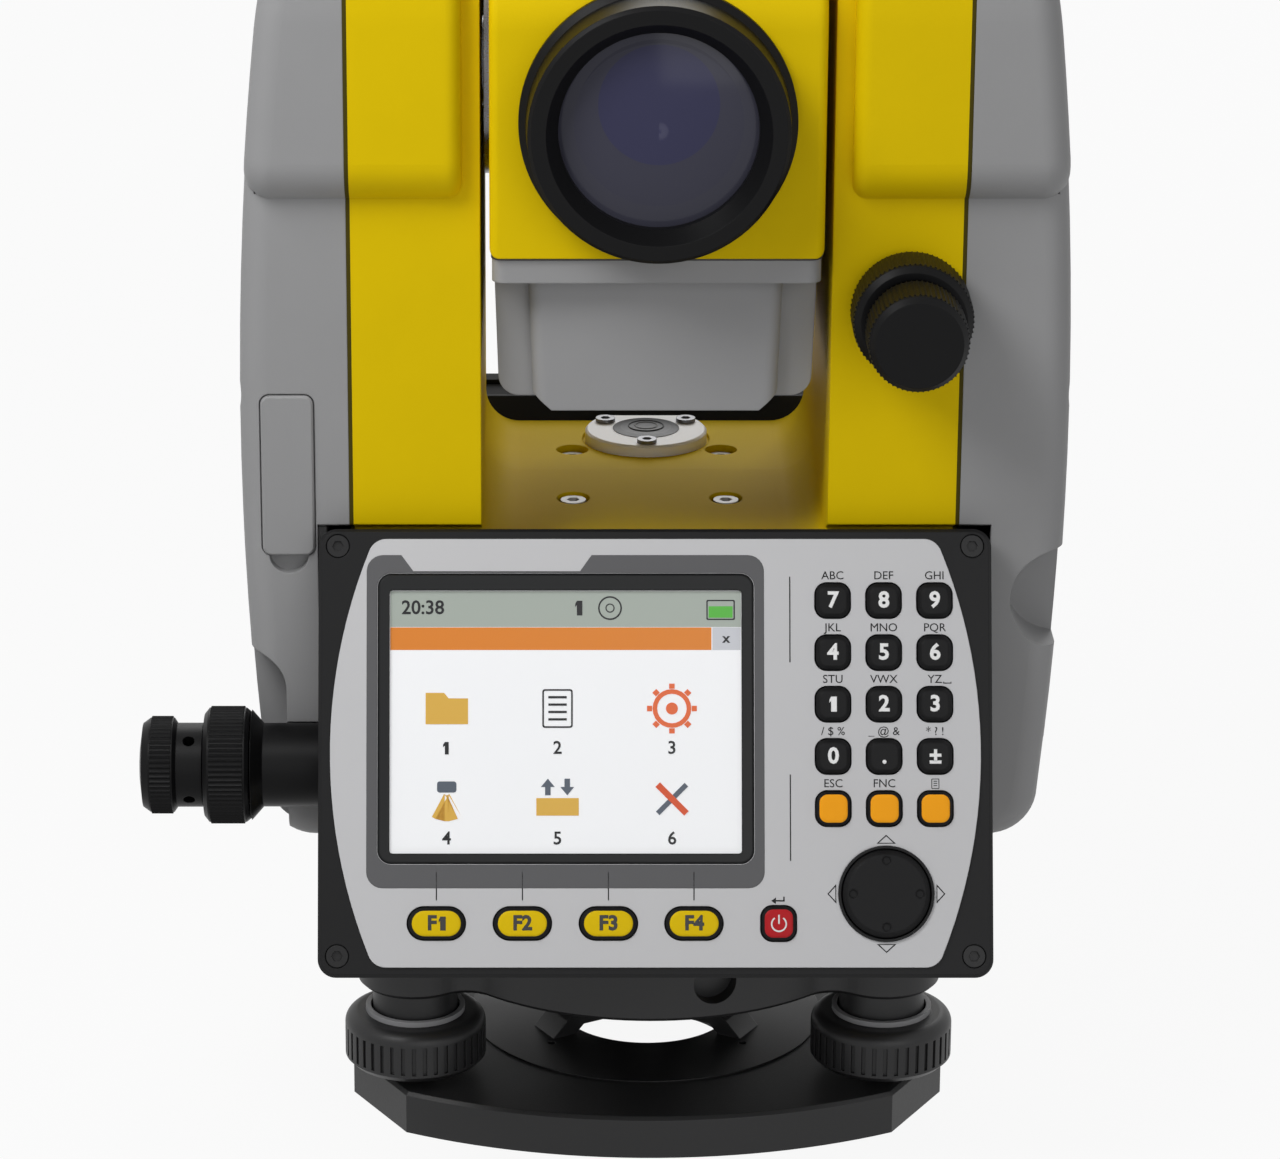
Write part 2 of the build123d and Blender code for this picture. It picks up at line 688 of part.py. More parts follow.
with BuildPart() as port_door:
    with BuildSketch(Plane.XZ.offset(lower_depth + port_proud)):
        with Locations((port_x, port_middle)):
            RectangleRounded(port_width, port_length, port_round)
    extrude(amount=-port_thickness)
    chamfer(port_door.faces().sort_by(Axis.Y)[0].edges(), 0.4)
save(port_door, "port_door")

# ---- keypad: case, overlay, display and keys ------------------------------

display_middle, display_size = (-19.4, 7.4), (81.6, 63.0)
screen_middle, screen_size = (-19.45, 6.7), (76.5, 57.2)
display_round, display_bed, display_rise = 3.0, 3.0, 0.9
corner_screws = [(x, y) for x in (-68.9, 68.9) for y in (-44.0, 44.9)]
corner_head, corner_seat_radius, corner_seat, corner_shank = (2.4, 1.1), 2.6, 1.2, (1.2, 7.8)
number_columns = (38.5, 49.55, 60.6)
number_rows = (33.0, 21.7, 10.5, -0.8, -12.1)
number_names = (
    ("key_7", "key_8", "key_9"),
    ("key_4", "key_5", "key_6"),
    ("key_1", "key_2", "key_3"),
    ("key_0", "key_dot", "key_sign"),
    ("key_esc", "key_fnc", "key_page"),
)
function_row, function_size = -36.9, (12.3, 6.9)
function_columns = (-47.4, -28.8, -10.2, 8.3)
power_at = (26.6, function_row)
pad_at, pad_radius, pad_ring_radius, pad_ring_rise = (49.9, -30.5), 9.5, 10.4, 1.1
pad_rise, dimple_radius, dimple_circle = 0.4, 0.9, 7.2
key_play = 0.2  # under a key that is pressed home
key_edge = 0.8
square_keys = [(x, y) for y in number_rows for x in number_columns] + [power_at]
stadium_keys = [(x, function_row) for x in function_columns]


def key_openings(clearance, pad_opening):
    """Openings for every key, each as wide as its key and a clearance all round."""
    with BuildSketch() as openings:
        with Locations(square_keys):
            side = number_key + 2 * clearance
            RectangleRounded(side, side, number_radius + clearance)
        with Locations(stadium_keys):
            SlotOverall(function_size[0] + 2 * clearance, function_size[1] + 2 * clearance)
        with Locations(pad_at):
            Circle(pad_opening)
    return openings.sketch


case_round, case_edge = 4.0, 0.7
front_half, groove_width = 3.1, 0.7  # the front half of a case and the joint behind it


def panel_case(plane, depth):
    """Both halves of a panel case, with the joint groove between them."""
    with BuildPart() as case:
        with BuildSketch(plane.offset(-depth)):
            RectangleRounded(panel_width - 1.6, panel_height - 1.6, case_round - 0.6)
        extrude(amount=depth - front_half - groove_width)
        with BuildSketch(plane.offset(-front_half - groove_width - 0.1)):
            RectangleRounded(panel_width - 3, panel_height - 3, case_round - 1)
        extrude(amount=groove_width + 0.2)
        with BuildSketch(plane.offset(-front_half)):
            RectangleRounded(panel_width, panel_height, case_round)
        extrude(amount=front_half)
        chamfer(case.faces().sort_by(Axis(plane.origin, plane.z_dir))[-1].edges(), case_edge)
    return case.part


wedge_left, wedge_right, wedge_top, wedge_front = -30.0, 60.0, 128.0, -80.5
with BuildPart() as case_back:
    # the wedge that stands the tilted keypad off the upright face of the yoke
    with BuildSketch(Plane.YZ.offset(wedge_left)):
        Polygon(
            (-lower_depth, alidade_bottom),
            (-lower_depth, wedge_top),
            (-lower_depth - 2.5, wedge_top),
            (wedge_front, alidade_bottom),
            align=None,
        )
    extrude(amount=wedge_right - wedge_left)

with BuildPart() as keypad_case:
    add(panel_case(panel, case_depth))
    add(case_back.part)
    with BuildSketch(panel):
        with Locations(display_middle):
            RectangleRounded(*display_size, display_round)
    extrude(amount=-display_bed, mode=Mode.SUBTRACT)
    with BuildSketch(panel):
        add(key_openings(free_gap, pad_radius + free_gap))
    extrude(amount=key_floor, mode=Mode.SUBTRACT)
    with BuildSketch(panel):
        with Locations(pad_at):
            Circle(pad_ring_radius)
            Circle(pad_radius + free_gap, mode=Mode.SUBTRACT)
    extrude(amount=pad_ring_rise)
    with BuildSketch(panel):
        with Locations(corner_screws):
            Circle(corner_seat_radius)
    extrude(amount=-corner_seat, mode=Mode.SUBTRACT)
    with BuildSketch(panel):
        with Locations(corner_screws):
            Circle(corner_shank[0])
    extrude(amount=-corner_seat - corner_shank[1], mode=Mode.SUBTRACT)
save(keypad_case, "keypad_case")

overlay_top, overlay_corner_x, overlay_side_x = 46.4, 61.0, 70.5
with BuildPart() as keypad_overlay:
    with BuildSketch(panel) as overlay_outline:
        with BuildLine():
            Line((-overlay_corner_x, overlay_top), (overlay_corner_x, overlay_top))
            ThreePointArc(
                (overlay_corner_x, overlay_top),
                (overlay_side_x, 0),
                (overlay_corner_x, -overlay_top),
            )
            Line((overlay_corner_x, -overlay_top), (-overlay_corner_x, -overlay_top))
            ThreePointArc(
                (-overlay_corner_x, -overlay_top),
                (-overlay_side_x, 0),
                (-overlay_corner_x, overlay_top),
            )
        make_face()
        fillet(overlay_outline.vertices(), 4)
        with Locations(display_middle):
            RectangleRounded(*display_size, display_round, mode=Mode.SUBTRACT)
        add(key_openings(free_gap, pad_ring_radius), mode=Mode.SUBTRACT)
    extrude(amount=overlay_thickness)
save(keypad_overlay, "keypad_overlay")

with BuildPart() as display_panel:
    with BuildSketch(panel.offset(-display_bed)):
        with Locations(display_middle):
            RectangleRounded(*display_size, display_round)
    extrude(amount=display_bed + display_rise)
    chamfer(display_panel.faces().sort_by(Axis(panel.origin, panel.z_dir))[-1].edges(), 0.5)
    with BuildSketch(panel.offset(display_rise)):
        with Locations(screen_middle):
            RectangleRounded(*screen_size, 0.8)
    extrude(amount=-display_rise, mode=Mode.SUBTRACT)
save(display_panel, "display_panel")


key_length = key_height - key_floor - key_travel - key_play


def panel_key(name, outline):
    """One rubber key standing in its well and through the overlay."""
    with BuildPart() as key:
        extrude(outline, amount=key_length)
        chamfer(key.faces().sort_by(Axis(panel.origin, panel.z_dir))[-1].edges(), key_edge)
    save(key, name)


key_base = panel.offset(key_floor + key_travel + key_play)
for row, names in zip(number_rows, number_names):
    for column, name in zip(number_columns, names):
        with BuildSketch(key_base) as outline:
            with Locations((column, row)):
                RectangleRounded(number_key, number_key, number_radius)
        panel_key(name, outline.sketch)
for number, column in enumerate(function_columns, start=1):
    with BuildSketch(key_base) as outline:
        with Locations((column, function_row)):
            SlotOverall(*function_size)
    panel_key(f"key_f{number}", outline.sketch)
with BuildSketch(key_base) as outline:
    with Locations(power_at):
        RectangleRounded(number_key, number_key, number_radius)
panel_key("key_power", outline.sketch)

with BuildPart() as nav_pad:
    with BuildSketch(key_base):
        with Locations(pad_at):
            Circle(pad_radius)
    extrude(amount=key_length + pad_rise)
    chamfer(nav_pad.faces().sort_by(Axis(panel.origin, panel.z_dir))[-1].edges(), key_edge + 0.2)
    with BuildSketch(panel.offset(key_height + pad_rise)):
        with Locations(pad_at):
            with PolarLocations(dimple_circle, 4):
                Circle(dimple_radius)
    extrude(amount=-0.4, mode=Mode.SUBTRACT)
save(nav_pad, "nav_pad")

rear_wedge_half, rear_wedge_top, rear_wedge_back = 60.0, 144.8, 91.0
blank_size, blank_round, blank_depth = (panel_width - 24, panel_height - 18), 8.0, 0.8
with BuildPart() as rear_panel:
    add(panel_case(rear_panel_plane, rear_depth))
    with BuildSketch(Plane.YZ.offset(-rear_wedge_half)):
        Polygon(
            (lower_depth, alidade_bottom),
            (lower_depth, floor_height),
            (lower_depth + 4.6, rear_wedge_top),
            (lower_depth + 7, rear_wedge_top),
            (rear_wedge_back, alidade_bottom),
            align=None,
        )
    extrude(amount=2 * rear_wedge_half)
    with BuildSketch(rear_panel_plane):
        RectangleRounded(*blank_size, blank_round)
    extrude(amount=-blank_depth, mode=Mode.SUBTRACT)
    with BuildSketch(rear_panel_plane):
        with Locations(corner_screws):
            Circle(corner_seat_radius)
    extrude(amount=-corner_seat, mode=Mode.SUBTRACT)
    with BuildSketch(rear_panel_plane):
        with Locations(corner_screws):
            Circle(corner_shank[0])
    extrude(amount=-corner_seat - corner_shank[1], mode=Mode.SUBTRACT)
save(rear_panel, "rear_panel")

# ---- socket screws of the casing ------------------------------------------


def socket_screw(plane, head_radius, head_height, shank_radius, shank_length):
    """A socket-head screw whose head stands on the plane."""
    with BuildPart() as screw:
        with BuildSketch(plane):
            Circle(head_radius)
        extrude(amount=head_height)
        with BuildSketch(plane):
            Circle(shank_radius)
        extrude(amount=-shank_length)
        with BuildSketch(plane.offset(head_height)):
            RegularPolygon(0.5 * head_radius, 6)
        extrude(amount=-0.65 * head_height, mode=Mode.SUBTRACT)
    return screw.part


def shifted(plane, x, y, z=0.0):
    """The same plane with its origin at a point given in it."""
    return Plane(origin=plane.from_local_coords((x, y, z)), x_dir=plane.x_dir, z_dir=plane.z_dir)


floor_head, cover_head = (2.9, 1.6), (3.2, 1.6)  # radius and height
with BuildPart() as casing_screws:
    for case_plane in (panel, rear_panel_plane):
        for x, y in corner_screws:
            add(socket_screw(shifted(case_plane, x, y, -corner_seat), *corner_head, *corner_shank))
    for x, y in floor_screws:
        seat = shifted(Plane.XY, x, y, floor_height - screw_seat_depth)
        add(socket_screw(seat, *floor_head, screw_shank_radius, screw_shank))
    for side in (-1, 1):
        for y, z in cover_screws:
            outward = Plane(
                origin=(side * (boss_outside[z] - boss_recess), y, z),
                x_dir=(0, 1, 0),
                z_dir=(side, 0, 0),
            )
            shank = boss_outside[z] - boss_recess - seam + cover_screw_hold
            add(socket_screw(outward, *cover_head, screw_shank_radius, shank))
save(casing_screws, "casing_screws")

# ---- circular level on the floor of the yoke -------------------------------

level_radius, level_flat = 14.3, 10.6
level_bottom, level_top = floor_height - level_recess_depth, 142.5
vial_top = level_top + 0.7
vial_radius, vial_dome = 7.8, 0.6
level_head, level_shank = (2.3, 0.9), (1.2, 3.3)
level_screws_at = ((-9.5, level_y + 5.5), (9.5, level_y + 5.5), (0, level_y - 11))
with BuildPart() as level_plate:
    with BuildSketch(Plane.XY.offset(level_bottom)):
        with Locations((0, level_y)):
            Circle(level_radius)
            Circle(vial_radius, mode=Mode.SUBTRACT)
        with Locations((0, level_y + level_flat)):
            Rectangle(
                2 * level_radius, level_radius, align=(Align.CENTER, Align.MIN), mode=Mode.SUBTRACT
            )
        with Locations(level_screws_at):
            Circle(level_shank[0], mode=Mode.SUBTRACT)
    extrude(amount=level_top - level_bottom)
    chamfer(level_plate.faces().sort_by(Axis.Z)[-1].outer_wire().edges(), 0.5)
save(level_plate, "level_plate")

with BuildPart() as level_vial:
    with BuildSketch(Plane.XZ.offset(-level_y)):
        with BuildLine():
            Polyline((0, vial_top), (0, level_bottom), (vial_radius, level_bottom))
            Line((vial_radius, level_bottom), (vial_radius, vial_top - vial_dome))
            TangentArc((0, vial_top), (vial_radius, vial_top - vial_dome), tangent=(1, 0))
        make_face()
    revolve(axis=Axis((0, level_y, 0), (0, 0, 1)))
save(level_vial, "level_vial")

with BuildPart() as level_screws:
    for x, y in level_screws_at:
        add(socket_screw(shifted(Plane.XY, x, y, level_top), *level_head, *level_shank))
save(level_screws, "level_screws")

# ---- carrying handle --------------------------------------------------------

handle_top, grip_underside = 350.0, 332.0
handle_half, foot_inner = 65.0, 44.0
handle_round, handle_corner, gap_corner, handle_half_depth = 4.0, 18.0, 10.0, 13.0
handle_screw_z, handle_head, handle_shank = standard_top + 9, (4.2, 3.0), (2.0, 12.0)
with BuildPart() as handle:
    with BuildSketch(Plane.XZ) as bow:
        with Locations((0, standard_top)):
            Rectangle(
                2 * handle_half, handle_top - standard_top, align=(Align.CENTER, Align.MIN)
            )
        fillet(bow.vertices().group_by(Axis.Y)[-1], handle_corner)
        with Locations((0, standard_top - 20)):
            RectangleRounded(
                2 * foot_inner,
                grip_underside - standard_top + 20,
                gap_corner,
                align=(Align.CENTER, Align.MIN),
                mode=Mode.SUBTRACT,
            )
    extrude(amount=handle_half_depth, both=True)
    for end in (0, -1):
        rim = handle.faces().sort_by(Axis.Y)[end].edges()
        fillet(rim.filter_by(lambda e: e.center().Z > standard_top + 1), handle_round)
    for side in (-1, 1):
        with BuildSketch(Plane.YZ.offset(side * handle_half)):
            with Locations((0, handle_screw_z)):
                Circle(handle_shank[0])
        extrude(amount=-side * handle_shank[1], mode=Mode.SUBTRACT)
save(handle, "handle")

with BuildPart() as handle_screws:
    for side in (-1, 1):
        outward = Plane(
            origin=(side * handle_half, 0, handle_screw_z), x_dir=(0, 1, 0), z_dir=(side, 0, 0)
        )
        add(socket_screw(outward, *handle_head, *handle_shank))
save(handle_screws, "handle_screws")


# ---- drives ------------------------------------------------------------------


def drive_plane(origin, direction):
    """A plane for a revolved drive part: x is the radius and y runs outwards."""
    out = Vector(*direction)
    return Plane(origin=origin, x_dir=(0, 0, 1), z_dir=Vector(0, 0, 1).cross(out))


knurl_width, knurl_depth = 0.9, 0.35
clamp_bore, knob_stem = 5.0, 4.5  # radii that run in each other on the two drives
housing_bore, neck_radius = 7.0, 9.3
block_left, block_length, block_height = -62.0, 28.0, 19.0  # foot of the horizontal drive
capstan_at, capstan_radius = 35.6, 1.3


def knurl(origin, direction, radius, start, length, count, depth=knurl_depth):
    """Grooves along a turned grip, cut from the part in hand."""
    face = Plane(origin=origin, x_dir=(0, 0, 1), z_dir=direction)
    with BuildPart() as grooves:
        with BuildSketch(face.offset(start)):
            with PolarLocations(radius, count):
                Rectangle(2 * depth, knurl_width)
        extrude(amount=length)
    return grooves.part


v_drive = ((v_drive_x, -lower_depth, v_drive_z), (0, -1, 0))
h_drive = ((-seam, h_drive_y, h_drive_z), (-1, 0, 0))


def turned_part(drive, *profile):
    """A turned part from its half profile of (radius, distance outwards) points."""
    origin, direction = drive
    with BuildPart() as piece:
        with BuildSketch(drive_plane(origin, direction)):
            Polygon(*profile, align=None)
        revolve(axis=Axis(origin, direction))
    return piece.part


with BuildPart() as v_clamp_ring:
    add(
        turned_part(
            v_drive,
            (clamp_bore + running_gap, -9), (v_sleeve_radius, -9),
            (v_sleeve_radius, free_gap + 0.1), (11.6, free_gap + 0.1),
            (drive_ring_radius, 1.6), (drive_ring_radius, 12.6), (11.4, 13.9),
            (9.8, 13.9), (9.8, 13.2), (clamp_bore + running_gap, 13.2),
        )
    )
    add(knurl(*v_drive, drive_ring_radius, 2.6, 9, 36), mode=Mode.SUBTRACT)
save(v_clamp_ring, "v_clamp_ring")

with BuildPart() as v_drive_knob:
    add(
        turned_part(
            v_drive,
            (0, -12), (clamp_bore, -12), (clamp_bore, 13.5), (neck_radius, 13.5),
            (neck_radius, 16), (drive_knob_radius, 17), (drive_knob_radius, 28.6),
            (neck_radius, 30), (0, 30),
        )
    )
    add(knurl(*v_drive, drive_knob_radius, 18, 9.6, 32), mode=Mode.SUBTRACT)
save(v_drive_knob, "v_drive_knob")

with BuildPart() as h_drive_housing:
    with BuildSketch(Plane.YZ.offset(block_left)):
        with Locations((-lower_depth, h_drive_z)):
            Rectangle(10, block_height, align=(Align.MAX, Align.CENTER))
    extrude(amount=block_length)
    add(
        turned_part(
            h_drive,
            (0, -14), (drive_tube_radius, -14), (drive_tube_radius, 19.4), (12.2, 22),
            (housing_bore + running_gap, 22), (housing_bore + running_gap, 12),
            (knob_stem + running_gap, 12), (knob_stem + running_gap, 4), (0, 4),
        )
    )
save(h_drive_housing, "h_drive_housing")

with BuildPart() as h_clamp_ring:
    add(
        turned_part(
            h_drive,
            (knob_stem + running_gap, 13), (housing_bore, 13), (housing_bore, 22.3),
            (11.9, 22.3), (drive_ring_radius, 23.2), (drive_ring_radius, 31.4),
            (11.4, 32.4), (knob_stem + running_gap, 32.4),
        )
    )
    add(knurl(*h_drive, drive_ring_radius, 24.2, 6.4, 36), mode=Mode.SUBTRACT)
save(h_clamp_ring, "h_clamp_ring")

with BuildPart() as h_drive_knob:
    add(
        turned_part(
            h_drive,
            (0, 5), (knob_stem, 5), (knob_stem, 32.7), (neck_radius, 32.7),
            (neck_radius, 38.4), (drive_knob_radius, 39.2), (drive_knob_radius, 44.4),
            (neck_radius, 46), (5, 46.6), (0, 46.8),
        )
    )
    add(knurl(*h_drive, drive_knob_radius, 40, 4, 32), mode=Mode.SUBTRACT)
    # capstan holes in the neck
    for turn in (35, 125):
        across = (0, cos(radians(turn)), sin(radians(turn)))
        with BuildSketch(Plane(origin=h_drive[0], x_dir=h_drive[1], z_dir=across)):
            with Locations((capstan_at, 0)):
                Circle(capstan_radius)
        extrude(amount=12, both=True, mode=Mode.SUBTRACT)
save(h_drive_knob, "h_drive_knob")

# ---- telescope -----------------------------------------------------------------

scope_front = ((0, -scope_half_depth, trunnion_height), (0, -1, 0))
scope_rear = ((0, scope_half_depth, trunnion_height), (0, 1, 0))
barrel_radius, rear_boss, focus_radius = 24.0, 15.0, 21.6
eyepiece_bore, eyepiece_radius = 9.0, 11.6
scope_corner, scope_edge, shaft_seat = 16.0, 2.0, 8.0
sight_half_width, sight_half_length, sight_rise = 4.0, 15.0, 6.0
with BuildPart() as telescope_housing:
    with BuildSketch(Plane.YZ.offset(-scope_half_width)) as scope_side:
        with Locations((0, scope_bottom)):
            Rectangle(
                2 * scope_half_depth, scope_top - scope_bottom, align=(Align.CENTER, Align.MIN)
            )
        fillet(scope_side.vertices().group_by(Axis.Y)[-1], scope_corner)
    extrude(amount=2 * scope_half_width)
    fillet(telescope_housing.faces().sort_by(Axis.X)[0].edges(), scope_edge)
    fillet(telescope_housing.faces().sort_by(Axis.X)[-1].edges(), scope_edge)
    # open sight
    with BuildSketch(Plane.YZ.offset(-sight_half_width)):
        Polygon(
            (-sight_half_length - 2, scope_top - 1),
            (-sight_half_length, scope_top + sight_rise),
            (sight_half_length, scope_top + sight_rise),
            (sight_half_length + 2, scope_top - 1),
            align=None,
        )
    extrude(amount=2 * sight_half_width)
    add(turned_part(scope_rear, (0, -1), (rear_boss, -1), (rear_boss, 12), (0, 12)))
    eyepiece_room = eyepiece_bore + running_gap
    add(
        turned_part(scope_rear, (0, -30), (eyepiece_room, -30), (eyepiece_room, 13), (0, 13)),
        mode=Mode.SUBTRACT,
    )
    add(
        turned_part(scope_front, (0, -34), (barrel_radius, -34), (barrel_radius, 1), (0, 1)),
        mode=Mode.SUBTRACT,
    )
    for side in (-1, 1):
        with BuildSketch(Plane.YZ.offset(side * scope_half_width)):
            with Locations((0, trunnion_height)):
                Circle(shaft_radius)
        extrude(amount=-side * shaft_seat, mode=Mode.SUBTRACT)
save(telescope_housing, "telescope_housing")

box_reach = 50.0  # half depth of the middle box of the lower cover
lid_height, tub_reach, tub_bottom, box_bottom = 204.3, 45.0, 176.0, 174.0
tub_half, box_half, flank_taper, tub_corner = 34.9, 27.5, 1.0, 4.5
lid_overlap = 0.7


def on_box_flank(edge):
    """Whether an edge is one of the four upright corners of the middle box."""
    middle = edge.center()
    upright = box_bottom + 1 < middle.Z < lid_height and edge.length > 15
    return upright and abs(abs(middle.Y) - box_reach) < 0.1


with BuildPart() as telescope_cover:
    with BuildSketch(Plane.XY.offset(lid_height)):
        RectangleRounded(70.6, 2 * scope_half_depth - 2, 3)
    extrude(amount=scope_bottom - lid_height)
    with BuildSketch(Plane.XZ.offset(-tub_reach)) as wide_tub:
        Polygon(
            (-tub_half, lid_height + lid_overlap),
            (tub_half, lid_height + lid_overlap),
            (tub_half - flank_taper, tub_bottom),
            (-tub_half + flank_taper, tub_bottom),
            align=None,
        )
        fillet(wide_tub.vertices().group_by(Axis.Y)[0], tub_corner)
    extrude(amount=2 * tub_reach)
    with BuildSketch(Plane.XZ.offset(-box_reach)):
        Polygon(
            (-box_half, lid_height + lid_overlap),
            (box_half, lid_height + lid_overlap),
            (box_half - flank_taper, box_bottom + 3.6),
            (box_half - flank_taper - 4, box_bottom),
            (-box_half + flank_taper + 4, box_bottom),
            (-box_half + flank_taper, box_bottom + 3.6),
            align=None,
        )
    extrude(amount=2 * box_reach)
    fillet(telescope_cover.edges().filter_by(on_box_flank), 3)
save(telescope_cover, "telescope_cover")

with BuildPart() as lens_ring:
    add(
        turned_part(
            scope_front,
            (lens_radius, -30), (barrel_radius, -30), (barrel_radius, 0), (ring_flange_radius, 0),
            (ring_flange_radius, 1.6), (ring_radius + 0.4, 3), (ring_radius, 12.2), (26.9, 13),
            (23.8, 13), (lens_radius, 8.8),
        )
    )
save(lens_ring, "lens_ring")

with BuildPart() as objective_lens:
    with BuildSketch(drive_plane(*scope_front)):
        with BuildLine():
            Polyline((0, 8.4), (0, 2), (lens_radius, 2), (lens_radius, 6.6))
            TangentArc((0, 8.4), (lens_radius, 6.6), tangent=(1, 0))
        make_face()
    revolve(axis=Axis(*scope_front))
save(objective_lens, "objective_lens")

with BuildPart() as focus_ring:
    add(
        turned_part(
            scope_rear,
            (rear_boss + running_gap, 0.4), (20.6, 0.4), (focus_radius, 1.6),
            (focus_radius, 13.2), (20.2, 14.6), (17, 16.4), (12, 16.4), (12, 12.6),
            (rear_boss + running_gap, 12.6),
        )
    )
    add(knurl(*scope_rear, focus_radius, 2.6, 9.6, 36, 0.5), mode=Mode.SUBTRACT)
save(focus_ring, "focus_ring")

with BuildPart() as eyepiece:
    add(
        turned_part(
            scope_rear,
            (0, -10), (eyepiece_bore, -10), (eyepiece_bore, 12), (10.6, 17),
            (eyepiece_radius, 18), (eyepiece_radius, 24), (10.4, 28.6), (7.4, 28.6),
            (6, 25.6), (0, 25.6),
        )
    )
    add(knurl(*scope_rear, eyepiece_radius, 19, 4, 28), mode=Mode.SUBTRACT)
save(eyepiece, "eyepiece")

collar_radius, collar, shaft_length = 25.0, 1.5, 26.0
bearing_near, bearing_far = 5.9, 15.0
disc_radius, disc_near, disc_far = 36.0, 21.0, 24.0
trunnions = [((side * scope_half_width, 0, trunnion_height), (side, 0, 0)) for side in (-1, 1)]
with BuildPart() as trunnion_shafts:
    for trunnion in trunnions:
        add(
            turned_part(
                trunnion,
                (0, -shaft_seat), (shaft_radius, -shaft_seat), (shaft_radius, 0),
                (collar_radius, 0), (collar_radius, collar), (shaft_radius, collar),
                (shaft_radius, shaft_length), (0, shaft_length),
            )
        )
save(trunnion_shafts, "trunnion_shafts")

with BuildPart() as trunnion_bearings:
    for trunnion in trunnions:
        inner = shaft_radius + running_gap
        add(
            turned_part(
                trunnion,
                (inner, bearing_near), (bearing_radius, bearing_near),
                (bearing_radius, bearing_far), (inner, bearing_far),
            )
        )
save(trunnion_bearings, "trunnion_bearings")

with BuildPart() as vertical_circle:
    add(
        turned_part(
            trunnions[0],
            (shaft_radius, disc_near), (disc_radius, disc_near),
            (disc_radius, disc_far), (shaft_radius, disc_far),
        )
    )
save(vertical_circle, "vertical_circle")
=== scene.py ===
from math import cos, pi, radians, sin

import bmesh
import bpy
from mathutils import Matrix, Vector


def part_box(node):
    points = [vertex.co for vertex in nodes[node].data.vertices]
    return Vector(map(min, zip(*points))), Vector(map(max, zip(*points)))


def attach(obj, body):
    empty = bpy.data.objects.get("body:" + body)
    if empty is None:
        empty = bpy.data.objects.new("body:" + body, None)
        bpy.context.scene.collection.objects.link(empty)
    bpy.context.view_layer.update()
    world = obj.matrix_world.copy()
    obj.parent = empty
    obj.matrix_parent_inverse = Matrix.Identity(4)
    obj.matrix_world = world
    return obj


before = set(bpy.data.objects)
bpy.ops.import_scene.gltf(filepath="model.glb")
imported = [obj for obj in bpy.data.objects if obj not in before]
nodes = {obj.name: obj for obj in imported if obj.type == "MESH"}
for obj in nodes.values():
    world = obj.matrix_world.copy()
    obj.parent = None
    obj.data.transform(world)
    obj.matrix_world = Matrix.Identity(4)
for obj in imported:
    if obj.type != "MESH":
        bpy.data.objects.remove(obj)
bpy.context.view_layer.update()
MM = 0.001

# ---- studio: white surroundings, a pale floor, soft lamps and the camera ----
# The floor and the world show white to the eye and in reflections. They light the
# instrument at a plain level, and the floor keeps a soft shadow.

GLOW = 0.92  # share of plain white in the floor's look
SKY = 0.26  # light that the surroundings give


def seen_ray(tree):
    """One for camera, glossy and transmission rays, and zero for the rest."""
    path = tree.nodes.new("ShaderNodeLightPath")
    total = path.outputs["Is Camera Ray"]
    for ray in ("Is Glossy Ray", "Is Transmission Ray"):
        either = tree.nodes.new("ShaderNodeMath")
        either.operation = "MAXIMUM"
        tree.links.new(total, either.inputs[0])
        tree.links.new(path.outputs[ray], either.inputs[1])
        total = either.outputs[0]
    return total


world = bpy.data.worlds.new("studio")
bpy.context.scene.world = world
world.use_nodes = True
sky = world.node_tree.nodes["Background"]
sky.inputs["Color"].default_value = (1, 1, 1, 1)
sky_level = world.node_tree.nodes.new("ShaderNodeMapRange")
sky_level.inputs["To Min"].default_value = SKY
sky_level.inputs["To Max"].default_value = 1.0
world.node_tree.links.new(seen_ray(world.node_tree), sky_level.inputs["Value"])
world.node_tree.links.new(sky_level.outputs["Result"], sky.inputs["Strength"])

floor_paint = bpy.data.materials.new("studio_floor")
floor_paint.use_nodes = True
tree = floor_paint.node_tree
paint = tree.nodes["Principled BSDF"]
paint.inputs["Base Color"].default_value = (0.6, 0.6, 0.6, 1)
paint.inputs["Roughness"].default_value = 0.9
glow = tree.nodes.new("ShaderNodeEmission")
share = tree.nodes.new("ShaderNodeMath")
share.operation = "MULTIPLY"
share.inputs[1].default_value = GLOW
blend = tree.nodes.new("ShaderNodeMixShader")
tree.links.new(seen_ray(tree), share.inputs[0])
tree.links.new(share.outputs[0], blend.inputs[0])
tree.links.new(paint.outputs[0], blend.inputs[1])
tree.links.new(glow.outputs[0], blend.inputs[2])
tree.links.new(blend.outputs[0], tree.nodes["Material Output"].inputs["Surface"])

FLOOR = 9.0  # half the floor's width in metres
floor_mesh = bpy.data.meshes.new("floor")
floor_mesh.from_pydata(
    [(-FLOOR, -FLOOR, 0), (FLOOR, -FLOOR, 0), (FLOOR, FLOOR, 0), (-FLOOR, FLOOR, 0)],
    [],
    [(0, 1, 2, 3)],
)
floor_mesh.materials.append(floor_paint)
floor = bpy.data.objects.new("floor", floor_mesh)
bpy.context.scene.collection.objects.link(floor)


def softbox(name, place, target, size, power):
    """A square lamp that points at the target."""
    lamp = bpy.data.lights.new(name, "AREA")
    lamp.size = size
    lamp.energy = power
    holder = bpy.data.objects.new(name, lamp)
    holder.location = place
    holder.rotation_euler = (Vector(target) - Vector(place)).to_track_quat("-Z", "Y").to_euler()
    bpy.context.scene.collection.objects.link(holder)


softbox("key", (-0.32, -0.34, 0.66), target=(0, -0.02, 0.2), size=0.3, power=2.6)
softbox("fill", (0.5, -1.6, 0.6), target=(0, 0, 0.15), size=1.0, power=5)
softbox("back", (0.2, 1.5, 1.3), target=(0, 0, 0.22), size=1.0, power=12)

